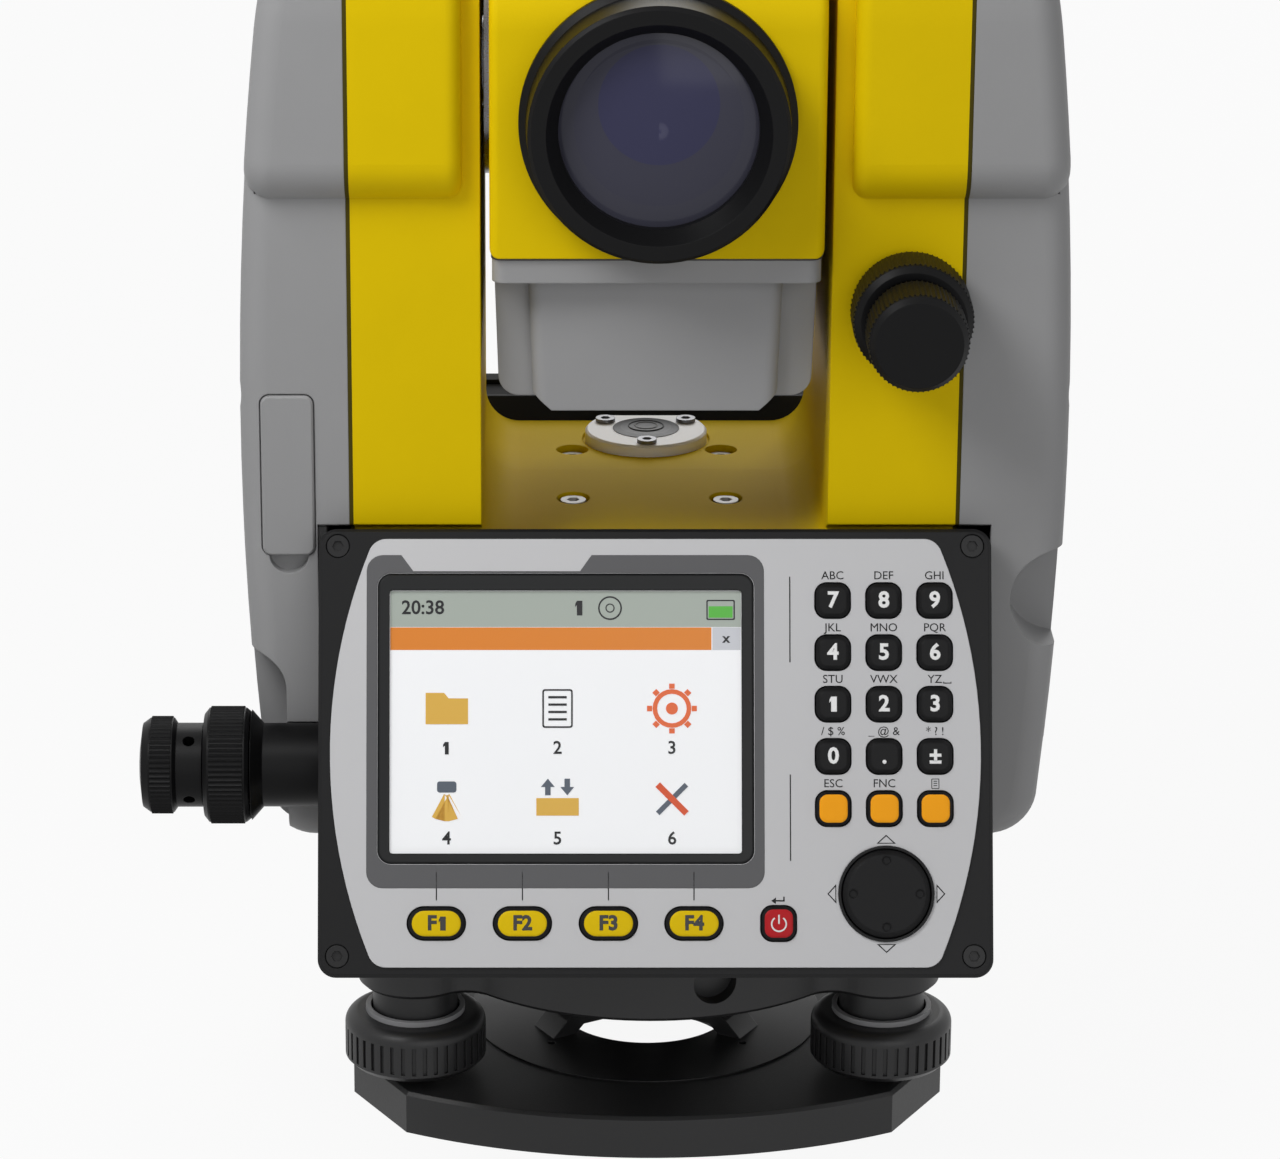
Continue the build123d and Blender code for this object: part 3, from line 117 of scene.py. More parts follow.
CAMERA_AT, CAMERA_TURN = (-25.1, -1088.0, 494.6), 70.9
camera = bpy.data.cameras.new("camera")
camera.sensor_width = 36.0
camera.lens = 140.625
camera.shift_x = 0.0785
camera_holder = bpy.data.objects.new("camera", camera)
camera_holder.location = [c * MM for c in CAMERA_AT]
camera_holder.rotation_euler = (radians(CAMERA_TURN), 0, 0)
bpy.context.scene.collection.objects.link(camera_holder)
bpy.context.scene.camera = camera_holder
bpy.context.scene.view_settings.view_transform = "Standard"

# ---- tribrach: base plate, spring plate, body and lock lever -----------------
# Black stoved paint on aluminium castings. The paint has a fine grain, and its
# edges are a little rounded. The tripod nut is tapped for a coarse screw.


def srgb(red, green, blue):
    """A colour of 0 to 255 as the linear values that shaders use."""
    return tuple(((c / 255 + 0.055) / 1.055) ** 2.4 if c > 10 else c / 3294 for c in (red, green, blue))


def group_socket(group, name, kind, side, value=None):
    """A named socket of a node group."""
    socket = group.interface.new_socket(name=name, in_out=side, socket_type=kind)
    if value is not None:
        socket.default_value = value
    return socket


def make_grain_group():
    """Colour, roughness and height of a surface with a fine grain and a faint mottle."""
    group = bpy.data.node_groups.new("surface_grain", "ShaderNodeTree")
    group_socket(group, "Color", "NodeSocketColor", "INPUT", (0.5, 0.5, 0.5, 1))
    group_socket(group, "Mottle", "NodeSocketFloat", "INPUT", 0.06)
    group_socket(group, "Grain Scale", "NodeSocketFloat", "INPUT", 1200.0)
    group_socket(group, "Roughness", "NodeSocketFloat", "INPUT", 0.4)
    group_socket(group, "Spread", "NodeSocketFloat", "INPUT", 0.08)
    group_socket(group, "Color", "NodeSocketColor", "OUTPUT")
    group_socket(group, "Roughness", "NodeSocketFloat", "OUTPUT")
    group_socket(group, "Height", "NodeSocketFloat", "OUTPUT")
    add, link = group.nodes.new, group.links.new
    given, out = add("NodeGroupInput"), add("NodeGroupOutput")
    where = add("ShaderNodeTexCoord")
    grain, mottle = add("ShaderNodeTexNoise"), add("ShaderNodeTexNoise")
    mottle.inputs["Scale"].default_value = 45.0
    mottle.inputs["Detail"].default_value = 5.0
    grain.inputs["Detail"].default_value = 3.0
    for noise in (grain, mottle):
        link(where.outputs["Object"], noise.inputs["Vector"])
    link(given.outputs["Grain Scale"], grain.inputs["Scale"])
    # colour: brighter and darker by the mottle
    centred, scaled, lifted = (add("ShaderNodeMath") for _ in range(3))
    centred.operation, scaled.operation, lifted.operation = "SUBTRACT", "MULTIPLY", "ADD"
    centred.inputs[1].default_value = 0.5
    lifted.inputs[1].default_value = 1.0
    link(mottle.outputs["Fac"], centred.inputs[0])
    link(centred.outputs[0], scaled.inputs[0])
    link(given.outputs["Mottle"], scaled.inputs[1])
    link(scaled.outputs[0], lifted.inputs[0])
    tint = add("ShaderNodeVectorMath")
    tint.operation = "SCALE"
    link(given.outputs["Color"], tint.inputs[0])
    link(lifted.outputs[0], tint.inputs["Scale"])
    link(tint.outputs[0], out.inputs["Color"])
    # roughness: spread about its middle by the grain
    middle, spread, total = (add("ShaderNodeMath") for _ in range(3))
    middle.operation, spread.operation, total.operation = "SUBTRACT", "MULTIPLY", "ADD"
    middle.inputs[1].default_value = 0.5
    link(grain.outputs["Fac"], middle.inputs[0])
    link(middle.outputs[0], spread.inputs[0])
    link(given.outputs["Spread"], spread.inputs[1])
    link(spread.outputs[0], total.inputs[0])
    link(given.outputs["Roughness"], total.inputs[1])
    link(total.outputs[0], out.inputs["Roughness"])
    link(grain.outputs["Fac"], out.inputs["Height"])
    return group


grain_group = make_grain_group()


def surface(name, colour, roughness, grain=1200.0, depth=0.02, edge=0.25, mottle=0.06, **shader):
    """A finish with its own grain; depth and edge radius are in millimetres."""
    material = bpy.data.materials.new(name)
    material.use_nodes = True
    tree = material.node_tree
    principled = tree.nodes["Principled BSDF"]
    look = tree.nodes.new("ShaderNodeGroup")
    look.name = "grain"
    look.node_tree = grain_group
    look.inputs["Color"].default_value = (*colour, 1)
    look.inputs["Mottle"].default_value = mottle
    look.inputs["Grain Scale"].default_value = grain
    look.inputs["Roughness"].default_value = roughness
    bump = tree.nodes.new("ShaderNodeBump")
    bump.inputs["Strength"].default_value = 0.5
    bump.inputs["Distance"].default_value = depth * MM
    worn = tree.nodes.new("ShaderNodeBevel")
    worn.samples = 4
    worn.inputs["Radius"].default_value = edge * MM
    tree.links.new(look.outputs["Color"], principled.inputs["Base Color"])
    tree.links.new(look.outputs["Roughness"], principled.inputs["Roughness"])
    tree.links.new(look.outputs["Height"], bump.inputs["Height"])
    tree.links.new(worn.outputs[0], bump.inputs["Normal"])
    tree.links.new(bump.outputs[0], principled.inputs["Normal"])
    for socket, value in shader.items():
        principled.inputs[socket.replace("_", " ")].default_value = value
    return material


def dress(material, *names):
    """Gives CAD nodes their finish."""
    for name in names:
        slots = nodes[name].data.materials
        slots.clear()
        slots.append(material)


def place(name, mesh, material, body, slot):
    """A finished piece: its mesh, its finish and the body that it rides on."""
    if material is not None:
        mesh.materials.clear()
        mesh.materials.append(material)
    piece = bpy.data.objects.new(name, mesh)
    bpy.context.scene.collection.objects.link(piece)
    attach(piece, body)
    return piece


def baked(subject):
    """A plain mesh of an object with all that its modifiers or curve settings make."""
    bpy.context.view_layer.update()
    graph = bpy.context.evaluated_depsgraph_get()
    return bpy.data.meshes.new_from_object(subject.evaluated_get(graph))


black_paint = surface(
    "black_stoved_paint", srgb(27, 27, 28), 0.46, grain=1500, depth=0.03, Specular_IOR_Level=0.4
)
dress(black_paint, "base_plate", "tribrach_body")
spring_steel = surface(
    "black_spring_steel", srgb(24, 24, 25), 0.34, grain=2200, depth=0.01, Specular_IOR_Level=0.4
)
dress(spring_steel, "spring_plate")
lever_plastic = surface(
    "lever_plastic", srgb(34, 34, 35), 0.45, grain=1800, depth=0.02, Specular_IOR_Level=0.3
)
dress(lever_plastic, "lock_lever")

NUT_RADIUS, THREAD_PITCH, RIDGE_RADIUS, RIDGE_SINK = 7.94, 2.31, 0.5, 0.1
NUT_BOTTOM, NUT_TOP = 12.9, 23.4


def make_thread_tree():
    """Geometry Nodes: a ridge that winds up the inside of a tapped hole."""
    group = bpy.data.node_groups.new("tapped_thread", "GeometryNodeTree")
    for name, kind in (
        ("Radius", "NodeSocketFloat"), ("Pitch", "NodeSocketFloat"), ("Turns", "NodeSocketFloat"),
        ("Ridge", "NodeSocketFloat"), ("Finish", "NodeSocketMaterial"),
    ):
        group_socket(group, name, kind, "INPUT")
    group_socket(group, "Geometry", "NodeSocketGeometry", "OUTPUT")
    add, link = group.nodes.new, group.links.new
    given, out = add("NodeGroupInput"), add("NodeGroupOutput")
    spiral = add("GeometryNodeCurveSpiral")
    spiral.inputs["Resolution"].default_value = 40
    link(given.outputs["Turns"], spiral.inputs["Rotations"])
    link(given.outputs["Radius"], spiral.inputs["Start Radius"])
    link(given.outputs["Radius"], spiral.inputs["End Radius"])
    height = add("ShaderNodeMath")
    height.operation = "MULTIPLY"
    link(given.outputs["Turns"], height.inputs[0])
    link(given.outputs["Pitch"], height.inputs[1])
    link(height.outputs[0], spiral.inputs["Height"])
    section = add("GeometryNodeCurvePrimitiveCircle")
    section.inputs["Resolution"].default_value = 6
    link(given.outputs["Ridge"], section.inputs["Radius"])
    sweep = add("GeometryNodeCurveToMesh")
    sweep.inputs["Fill Caps"].default_value = True
    link(spiral.outputs[0], sweep.inputs["Curve"])
    link(section.outputs["Curve"], sweep.inputs["Profile Curve"])
    whole, painted = add("GeometryNodeRealizeInstances"), add("GeometryNodeSetMaterial")
    link(sweep.outputs[0], whole.inputs[0])
    link(whole.outputs[0], painted.inputs["Geometry"])
    link(given.outputs["Finish"], painted.inputs["Material"])
    link(painted.outputs[0], out.inputs["Geometry"])
    return group


def grown(name, mesh, tree, **inputs):
    """The plain mesh that a Geometry Nodes tree makes on a mesh, with its inputs by name."""
    holder = bpy.data.objects.new(name, mesh)
    bpy.context.scene.collection.objects.link(holder)
    modifier = holder.modifiers.new(name, "NODES")
    modifier.node_group = tree
    for item in tree.interface.items_tree:
        key = item.name.replace(" ", "_")
        if item.in_out == "INPUT" and key in inputs:
            modifier[item.identifier] = inputs[key]
    made = baked(holder)
    bpy.data.objects.remove(holder)
    made.name = name
    return made


thread = grown(
    "tripod_thread",
    bpy.data.meshes.new("thread_start"),
    make_thread_tree(),
    Radius=(NUT_RADIUS + RIDGE_SINK) * MM,
    Pitch=THREAD_PITCH * MM,
    Turns=(NUT_TOP - NUT_BOTTOM) / THREAD_PITCH,
    Ridge=RIDGE_RADIUS * MM,
    Finish=spring_steel,
)
thread.transform(Matrix.Translation((0, 0, NUT_BOTTOM * MM)))
place("tripod_thread", thread, None, "base", "black_spring_plate")

# ---- foot screws ---------------------------------------------------------------
# Fluted plastic knobs moulded on threaded steel spindles, one at each corner.

KNOB_BOTTOM, KNOB_TOP = 11.8, 24.2


def reach_mask(tree, axis, level, above=True):
    """One where the distance along an axis of the frame is above, or below, a level in millimetres."""
    where, split, test = (
        tree.nodes.new(kind) for kind in ("ShaderNodeTexCoord", "ShaderNodeSeparateXYZ", "ShaderNodeMath")
    )
    tree.links.new(where.outputs["Object"], split.inputs[0])
    size = tree.nodes.new("ShaderNodeMath")
    size.operation = "ABSOLUTE"
    tree.links.new(split.outputs[axis], size.inputs[0])
    test.operation = "GREATER_THAN" if above else "LESS_THAN"
    test.inputs[1].default_value = level * MM
    tree.links.new(size.outputs[0], test.inputs[0])
    return test.outputs[0]


def overlay_finish(material, mask, colour, metallic=None, roughness=None):
    """Lays a second colour, and a metallic and roughness, over a finish where a mask is one."""
    tree = material.node_tree
    principled, look = tree.nodes["Principled BSDF"], tree.nodes["grain"]
    mix = tree.nodes.new("ShaderNodeMix")
    mix.data_type = "RGBA"
    tree.links.new(mask, mix.inputs["Factor"])
    before = principled.inputs["Base Color"].links[0].from_socket
    tree.links.new(before, mix.inputs["A"])
    mix.inputs["B"].default_value = (*colour, 1)
    tree.links.new(mix.outputs["Result"], principled.inputs["Base Color"])
    if metallic is not None:
        shine = tree.nodes.new("ShaderNodeMath")
        shine.operation = "MULTIPLY"
        shine.inputs[1].default_value = metallic
        tree.links.new(mask, shine.inputs[0])
        tree.links.new(shine.outputs[0], principled.inputs["Metallic"])
    if roughness is not None:
        gloss = tree.nodes.new("ShaderNodeMix")
        tree.links.new(mask, gloss.inputs["Factor"])
        tree.links.new(look.outputs["Roughness"], gloss.inputs["A"])
        gloss.inputs["B"].default_value = roughness
        tree.links.new(gloss.outputs["Result"], principled.inputs["Roughness"])


foot_finish = surface(
    "knob_on_spindle", srgb(36, 36, 37), 0.44, grain=1700, depth=0.02, Specular_IOR_Level=0.35
)
for level, above in ((KNOB_TOP, True), (KNOB_BOTTOM, False)):
    steel_part = reach_mask(foot_finish.node_tree, "Z", level, above)
    overlay_finish(foot_finish, steel_part, srgb(150, 150, 152))
dress(foot_finish, "foot_screw_1", "foot_screw_2", "foot_screw_3")

# ---- vertical axis and circles ---------------------------------------------------
# Turned metal with the divided glass circles, closed in by the yoke's skirt.

turned_metal = surface("turned_metal", srgb(200, 200, 203), 0.28, grain=2600, depth=0.008, Metallic=1.0)
circle_glass = surface("circle_glass", srgb(220, 229, 231), 0.1, grain=800, depth=0.0)
dress(turned_metal, "axis_carrier", "trunnion_shafts")
dress(circle_glass, "horizontal_circle", "vertical_circle")

# ---- yoke --------------------------------------------------------------------------
# One aluminium casting with a fine textured yellow paint. A thin dark gasket lies
# between each end face and the cover that closes it.

SEAM, GASKET_WIDTH = -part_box("left_cover")[1][0] / MM, 0.9

yellow_paint = surface(
    "yellow_paint", srgb(226, 194, 4), 0.56, grain=1300, depth=0.022, edge=0.5, mottle=0.08,
    Specular_IOR_Level=0.06,
)
gasketed = yellow_paint.copy()
gasketed.name = "yellow_paint_and_gasket"
gasket_edge = reach_mask(gasketed.node_tree, "X", SEAM - GASKET_WIDTH)
overlay_finish(gasketed, gasket_edge, srgb(72, 64, 18), roughness=0.6)
dress(gasketed, "yoke_frame")

# ---- side covers, battery door and port door ----------------------------------------
# Grey moulded plastic with a matt spark-eroded texture. The two doors are moulded
# in the same plastic, and the battery is a black pack.

grey_plastic = surface(
    "grey_plastic", srgb(152, 152, 153), 0.55, grain=2400, depth=0.02, edge=0.4, Specular_IOR_Level=0.25
)
dress(grey_plastic, "left_cover", "right_cover", "battery_door", "port_door")
dress(surface("battery_plastic", srgb(44, 44, 46), 0.5, grain=2000, depth=0.02), "battery")

# ---- handle ---------------------------------------------------------------------------
# Black moulded grip held by a screw at each foot.

screw_steel = surface("screw_steel", srgb(196, 196, 198), 0.3, grain=2500, depth=0.006, Metallic=1.0)
case_plastic = surface(
    "black_case_plastic", srgb(22, 22, 23), 0.46, grain=2200, depth=0.015, edge=0.35, Specular_IOR_Level=0.16
)
dress(case_plastic, "handle", "rear_panel", "keypad_case")
dress(screw_steel, "handle_screws", "trunnion_bearings")

# ---- casing screws ----------------------------------------------------------------------
# Socket screws: black ones in the two cases and the covers, and steel ones in the floor.

FLOOR_SCREW_REACH = 30.0
casing_screw = surface(
    "casing_screw", srgb(22, 22, 23), 0.4, grain=2500, depth=0.006, Specular_IOR_Level=0.25
)
floor_screw = reach_mask(casing_screw.node_tree, "X", FLOOR_SCREW_REACH, above=False)
overlay_finish(casing_screw, floor_screw, srgb(196, 196, 198), metallic=0.35, roughness=0.4)
dress(casing_screw, "casing_screws")

# ---- circular level ----------------------------------------------------------------------
# Bright brushed plate on three screws. It holds a dark vial that has a ring and a
# bubble under its domed glass.

GLASS_RADIUS, RING_RADIUS, BUBBLE_RADIUS = 6.0, 4.1, 2.6


def box_middle(node):
    """The middle of a node's box in millimetres."""
    low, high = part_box(node)
    return (Vector(low) + Vector(high)) / 2 / MM


LEVEL_Y, VIAL_TOP = box_middle("level_vial").y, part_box("level_vial")[1][2] / MM


def axis_distance(tree, centre, along):
    """Distance in metres from an axis through a centre in millimetres."""
    where = tree.nodes.new("ShaderNodeTexCoord")
    offset, flat, length = (tree.nodes.new("ShaderNodeVectorMath") for _ in range(3))
    offset.operation, flat.operation, length.operation = "SUBTRACT", "MULTIPLY", "LENGTH"
    offset.inputs[1].default_value = [c * MM for c in centre]
    flat.inputs[1].default_value = [0.0 if axis == along else 1.0 for axis in "XYZ"]
    tree.links.new(where.outputs["Object"], offset.inputs[0])
    tree.links.new(offset.outputs[0], flat.inputs[0])
    tree.links.new(flat.outputs[0], length.inputs[0])
    return length.outputs["Value"]


def beyond(tree, distance, limit, over=True):
    """One where a distance is over, or under, a limit in millimetres."""
    test = tree.nodes.new("ShaderNodeMath")
    test.operation = "GREATER_THAN" if over else "LESS_THAN"
    test.inputs[1].default_value = limit * MM
    tree.links.new(distance, test.inputs[0])
    return test.outputs[0]


level_metal = surface(
    "level_plate", srgb(250, 250, 251), 0.4, grain=3200, depth=0.02, mottle=0.1, Specular_IOR_Level=0.6
)
dress(level_metal, "level_plate")
level_screw_steel = surface(
    "level_screw_steel", srgb(120, 120, 122), 0.32, grain=2500, depth=0.006, Metallic=1.0
)
dress(level_screw_steel, "level_screws")

vial_finish = surface("level_vial", srgb(80, 81, 83), 0.3, grain=1200, depth=0.0, Specular_IOR_Level=0.1)
vial_tree = vial_finish.node_tree
from_middle = axis_distance(vial_tree, (0, LEVEL_Y, 0), "Z")
overlay_finish(vial_finish, beyond(vial_tree, from_middle, GLASS_RADIUS), srgb(62, 63, 64))
dress(vial_finish, "level_vial")


HOOP_POINTS = 64


def hoop(name, radius, thickness, dip, material):
    """A thin ring on the dome of the vial, a dip below its top."""
    curve = bpy.data.curves.new(name, "CURVE")
    curve.dimensions = "3D"
    curve.bevel_depth = thickness / 2 * MM
    curve.bevel_resolution = 2
    spline = curve.splines.new("POLY")
    spline.points.add(HOOP_POINTS - 1)
    for number, point in enumerate(spline.points):
        turn = 2 * pi * number / HOOP_POINTS
        at = Vector((radius * cos(turn), LEVEL_Y + radius * sin(turn), VIAL_TOP - dip)) * MM
        point.co = (*at, 1)
    spline.use_cyclic_u = True
    holder = bpy.data.objects.new(name, curve)
    bpy.context.scene.collection.objects.link(holder)
    mesh = baked(holder)
    bpy.data.objects.remove(holder)
    return place(name, mesh, material, "alidade", "vial_glass")


ring_paint = surface("level_ring", srgb(30, 30, 31), 0.5, grain=900, depth=0.0, Specular_IOR_Level=0.2)
hoop("level_ring", RING_RADIUS, thickness=0.35, dip=0.12, material=ring_paint)
bubble_edge = surface("level_bubble", srgb(112, 114, 116), 0.4, grain=900, depth=0.0, Specular_IOR_Level=0.2)
hoop("level_bubble", BUBBLE_RADIUS, thickness=0.25, dip=0.03, material=bubble_edge)

# ---- keypad: film overlay and what is printed on it ------------------------------------------
# A silver film with a fine metallic grain lies on the black case. The field round the
# display, the legends, the rules and the arrows round the pad are printed on it.

TILT = radians(22.5)
OVERLAY_TOP, KEY_TOP = 0.6, 1.6
FIELD_LEFT, FIELD_RIGHT, FIELD_BOTTOM, FIELD_TOP = -62.6, 23.6, -29.3, 42.9
TONGUE_TOP, TONGUE_FOOT, TONGUE_FLOOR = (-55.1, -13.8), (-52.5, -16.3), 39.4
DISPLAY_AT, DISPLAY_SIZE = (-19.4, 7.4), (81.6, 63.0)

panel_normal = Vector((0, -cos(TILT), sin(TILT)))
overlay_box = [Vector(corner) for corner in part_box("keypad_overlay")]
panel_origin = (overlay_box[0] + overlay_box[1]) / 2 - panel_normal * OVERLAY_TOP / 2 * MM
PANEL = Matrix.Translation(panel_origin) @ Matrix(
    ((1, 0, 0), (0, sin(TILT), -cos(TILT)), (0, cos(TILT), sin(TILT)))
).to_4x4()


def rounded(middle, size, corner, steps=6):
    """The outline of a rectangle with round corners, anticlockwise."""
    points = []
    for quarter, (right, up) in enumerate(((1, 1), (-1, 1), (-1, -1), (1, -1))):
        for step in range(steps + 1):
            turn = pi / 2 * (quarter + step / steps)
            points.append((
                middle[0] + right * (size[0] / 2 - corner) + corner * cos(turn),
                middle[1] + up * (size[1] / 2 - corner) + corner * sin(turn),
            ))
    return points


def box_outline(left, bottom, right, top, corner=0.05, steps=2):
    """The outline of a box between two corners."""
    return rounded(((left + right) / 2, (bottom + top) / 2), (right - left, top - bottom), corner, steps)


def figure_one(u, w, height, weight):
    """The figure 1 with a flag, which the plain lettering lacks."""
    top, low = w + height / 2, w - height / 2
    right, left = u + weight * 0.75, u - weight * 0.75
    flag = u - height * 0.3
    return [(right, top), (right, low), (left, low), (left, top - height * 0.3),
            (flag, top - height * 0.42), (flag, top - height * 0.22), (left + 0.02, top)]


CAPITAL_SHARE = 0.69  # a capital's height as a share of the lettering's size
FILM = 0.05  # thickness of a printed layer
JOINED = 0.0005  # points this close become one


def printed(name, shapes, words, level, material, body, slot, thick=FILM):
    """Filled outlines and centred words, (text, u, w, height, boldness), as one thin layer."""
    made = bmesh.new()
    layers = []
    if shapes:
        flat = bpy.data.curves.new(name, "CURVE")
        flat.dimensions = "2D"
        flat.fill_mode = "BOTH"
        flat.extrude = thick / 2 * MM
        for outline in shapes:
            spline = flat.splines.new("POLY")
            spline.points.add(len(outline) - 1)
            for point, (u, w) in zip(spline.points, outline):
                point.co = (u * MM, w * MM, 0, 1)
            spline.use_cyclic_u = True
        layers.append((flat, (0.0, 0.0)))
    for text, u, w, height, bold in words:
        word = bpy.data.curves.new(name, "FONT")
        word.body = text
        word.align_x, word.align_y = "CENTER", "CENTER"
        word.size = height / CAPITAL_SHARE * MM
        word.offset = bold * MM
        word.resolution_u = 3
        word.extrude = thick / 2 * MM
        layers.append((word, (u, w)))
    for curve, (u, w) in layers:
        holder = bpy.data.objects.new(name, curve)
        bpy.context.scene.collection.objects.link(holder)
        mesh = baked(holder)
        bpy.data.objects.remove(holder)
        mesh.transform(PANEL @ Matrix.Translation(Vector((u, w, level + thick / 2)) * MM))
        made.from_mesh(mesh)
        bpy.data.meshes.remove(mesh)
    bmesh.ops.remove_doubles(made, verts=made.verts, dist=JOINED * MM)
    mesh = bpy.data.meshes.new(name)
    made.to_mesh(mesh)
    made.free()
    return place(name, mesh, material, body, slot)


silver_film = surface(
    "silver_film", srgb(200, 200, 202), 0.45, grain=3600, depth=0.006, mottle=0.03, Specular_IOR_Level=0.3
)
dress(silver_film, "keypad_overlay")

field_ink = surface(
    "grey_field_ink", srgb(94, 94, 96), 0.5, grain=3600, depth=0.006, mottle=0.03, Specular_IOR_Level=0.2
)
FIELD_CORNER, WINDOW_CORNER, WINDOW_GAP = 3.5, 3.1, 0.2
corner_arc = box_outline(FIELD_LEFT, FIELD_BOTTOM, FIELD_RIGHT, FIELD_TOP, FIELD_CORNER, steps=6)
tongue = [
    (TONGUE_TOP[1], FIELD_TOP), (TONGUE_FOOT[1], TONGUE_FLOOR),
    (TONGUE_FOOT[0], TONGUE_FLOOR), (TONGUE_TOP[0], FIELD_TOP),
]
first_corner = len(corner_arc) // 4
field_outline = corner_arc[:first_corner] + tongue + corner_arc[first_corner:]
window = rounded(DISPLAY_AT, [side + WINDOW_GAP for side in DISPLAY_SIZE], WINDOW_CORNER)
printed(
    "display_field", [field_outline, window], [], OVERLAY_TOP, field_ink, "alidade",
    "silver_overlay_film",
)

NUMBER_COLUMNS, NUMBER_ROWS = (38.5, 49.55, 60.6), (33.0, 21.7, 10.5, -0.8, -12.1)
FUNCTION_COLUMNS, FUNCTION_ROW = (-47.4, -28.8, -10.2, 8.3), -36.9
POWER_AT, PAD_AT, ARROW_REACH = (26.6, -36.9), (49.9, -30.5), 11.6
LEGEND_RISE, LEGEND_HEIGHT, RULE_HALF = 5.4, 1.75, 0.12
LEGENDS = (
    ("ABC", "DEF", "GHI"), ("JKL", "MNO", "PQR"), ("STU", "VWX", "YZ"),
    ("/ $ %", "_ @ &", "* ? !"), ("ESC", "FNC", ""),
)
legend_ink = surface("legend_ink", srgb(20, 20, 21), 0.5, grain=3600, depth=0.0, Specular_IOR_Level=0.2)
legend_words = [
    (legend, column, row + LEGEND_RISE, LEGEND_HEIGHT, 0.0)
    for row, legends in zip(NUMBER_ROWS, LEGENDS)
    for column, legend in zip(NUMBER_COLUMNS, legends)
    if legend
]
rule_places = [(column, -31.9, -25.8) for column in FUNCTION_COLUMNS]
rule_places += [(29.2, 19.6, 38.2), (29.2, -23.4, -4.7)]
rules = [box_outline(u - RULE_HALF, low, u + RULE_HALF, high) for u, low, high in rule_places]
# space sign, page sign and enter arrow
space_sign = [(62.4, 15.4), (62.4, 15.0), (64.2, 15.0), (64.2, 15.4), (64.0, 15.4), (64.0, 15.2),
              (62.6, 15.2), (62.6, 15.4)]
page_at = (NUMBER_COLUMNS[2], NUMBER_ROWS[4] + LEGEND_RISE)
page_sign = [rounded(page_at, (1.7, 2.2), 0.15, 2), rounded(page_at, (1.4, 1.9), 0.1, 2)]
page_sign += [
    box_outline(page_at[0] - 0.4, page_at[1] + lift, page_at[0] + 0.4, page_at[1] + lift + 0.16)
    for lift in (-0.5, 0.0, 0.45)
]
enter_sign = [(25.0, -32.0), (26.0, -31.3), (26.0, -31.85), (27.6, -31.85), (27.6, -31.1), (27.9, -31.1),
              (27.9, -32.15), (26.0, -32.15), (26.0, -32.7)]
ARROW_OUTLINES = ((1.15, -0.75, 2.1), (0.85, -0.58, 1.55))  # tip, foot and half width of each
arrows = []
for quarter in range(4):
    out = Vector((cos(quarter * pi / 2), sin(quarter * pi / 2)))
    across = Vector((-out.y, out.x))
    middle = Vector(PAD_AT) + out * ARROW_REACH
    for tip, foot, half in ARROW_OUTLINES:
        arrows.append([
            tuple(middle + out * tip),
            tuple(middle + out * foot + across * half),
            tuple(middle + out * foot - across * half),
        ])
printed(
    "panel_legends", rules + page_sign + arrows + [space_sign, enter_sign], legend_words,
    OVERLAY_TOP, legend_ink, "alidade", "silver_overlay_film",
)

# ---- keypad: display ---------------------------------------------------------------------------
# A black bezel round a lit screen. The page has a clock, signs for the level and the
# battery, an orange title bar and six numbered items.

SCREEN_LEFT, SCREEN_RIGHT, SCREEN_BOTTOM, SCREEN_TOP = -57.7, 18.8, -21.9, 35.3
STATUS_FLOOR, TITLE_FLOOR, CLOSE_WIDTH = 27.3, 22.3, 6.4
PAGE_GAP, BAR_GAP, CLOSE_GAP = 0.1, 0.2, 0.3
PAGE_FOOT, PAGE_TOP, INK_TOP, HANDLE_TOP = 0.02, 0.12, 0.17, 0.22

bezel = surface(
    "display_bezel", srgb(24, 25, 26), 0.34, grain=1500, depth=0.0, edge=0.3, Specular_IOR_Level=0.2
)
dress(bezel, "display_panel")


def lit(name, colour, strength=0.12):
    """A screen colour that glows a little."""
    return surface(
        name, colour, 0.22, grain=900, depth=0.0, edge=0.0, mottle=0.02, Emission_Color=(*colour, 1),
        Emission_Strength=strength, Specular_IOR_Level=0.3,
    )


def on_screen(name, shapes, words, level, colour, thick=FILM):
    """One colour of the screen's page."""
    printed(name, shapes, words, level, colour, "alidade", "display_window", thick)


def disc(middle, width):
    """The outline of a disc, or of the hole in one."""
    return rounded(middle, (width, width), width / 2 - 0.01)


def spoke(middle, angle, near, far, half):
    """A bar that runs outwards from near to far along an angle."""
    out = Vector((cos(angle), sin(angle)))
    across = Vector((-out.y, out.x))
    ends = ((near, -half), (far, -half), (far, half), (near, half))
    return [tuple(Vector(middle) + out * a + across * b) for a, b in ends]


page = box_outline(
    SCREEN_LEFT + PAGE_GAP, SCREEN_BOTTOM + PAGE_GAP, SCREEN_RIGHT - PAGE_GAP, SCREEN_TOP - PAGE_GAP, 0.6
)
page_white = lit("screen_white", srgb(232, 233, 235), 0.24)
on_screen("screen_page", [page], [], PAGE_FOOT, page_white, thick=PAGE_TOP - PAGE_FOOT)
status_bar = box_outline(SCREEN_LEFT + BAR_GAP, STATUS_FLOOR, SCREEN_RIGHT - BAR_GAP, SCREEN_TOP - BAR_GAP)
on_screen("screen_status", [status_bar], [], PAGE_TOP, lit("screen_status_grey", srgb(162, 170, 162)))
close_left = SCREEN_RIGHT - CLOSE_WIDTH
title_bar = box_outline(SCREEN_LEFT + BAR_GAP, TITLE_FLOOR, close_left - BAR_GAP, STATUS_FLOOR - PAGE_GAP)
on_screen("screen_title", [title_bar], [], PAGE_TOP, lit("screen_orange", srgb(216, 128, 44)))
close_box = box_outline(close_left, TITLE_FLOOR, SCREEN_RIGHT - CLOSE_GAP, STATUS_FLOOR - PAGE_GAP)
on_screen("screen_close", [close_box], [], PAGE_TOP, lit("screen_button", srgb(196, 198, 204)))

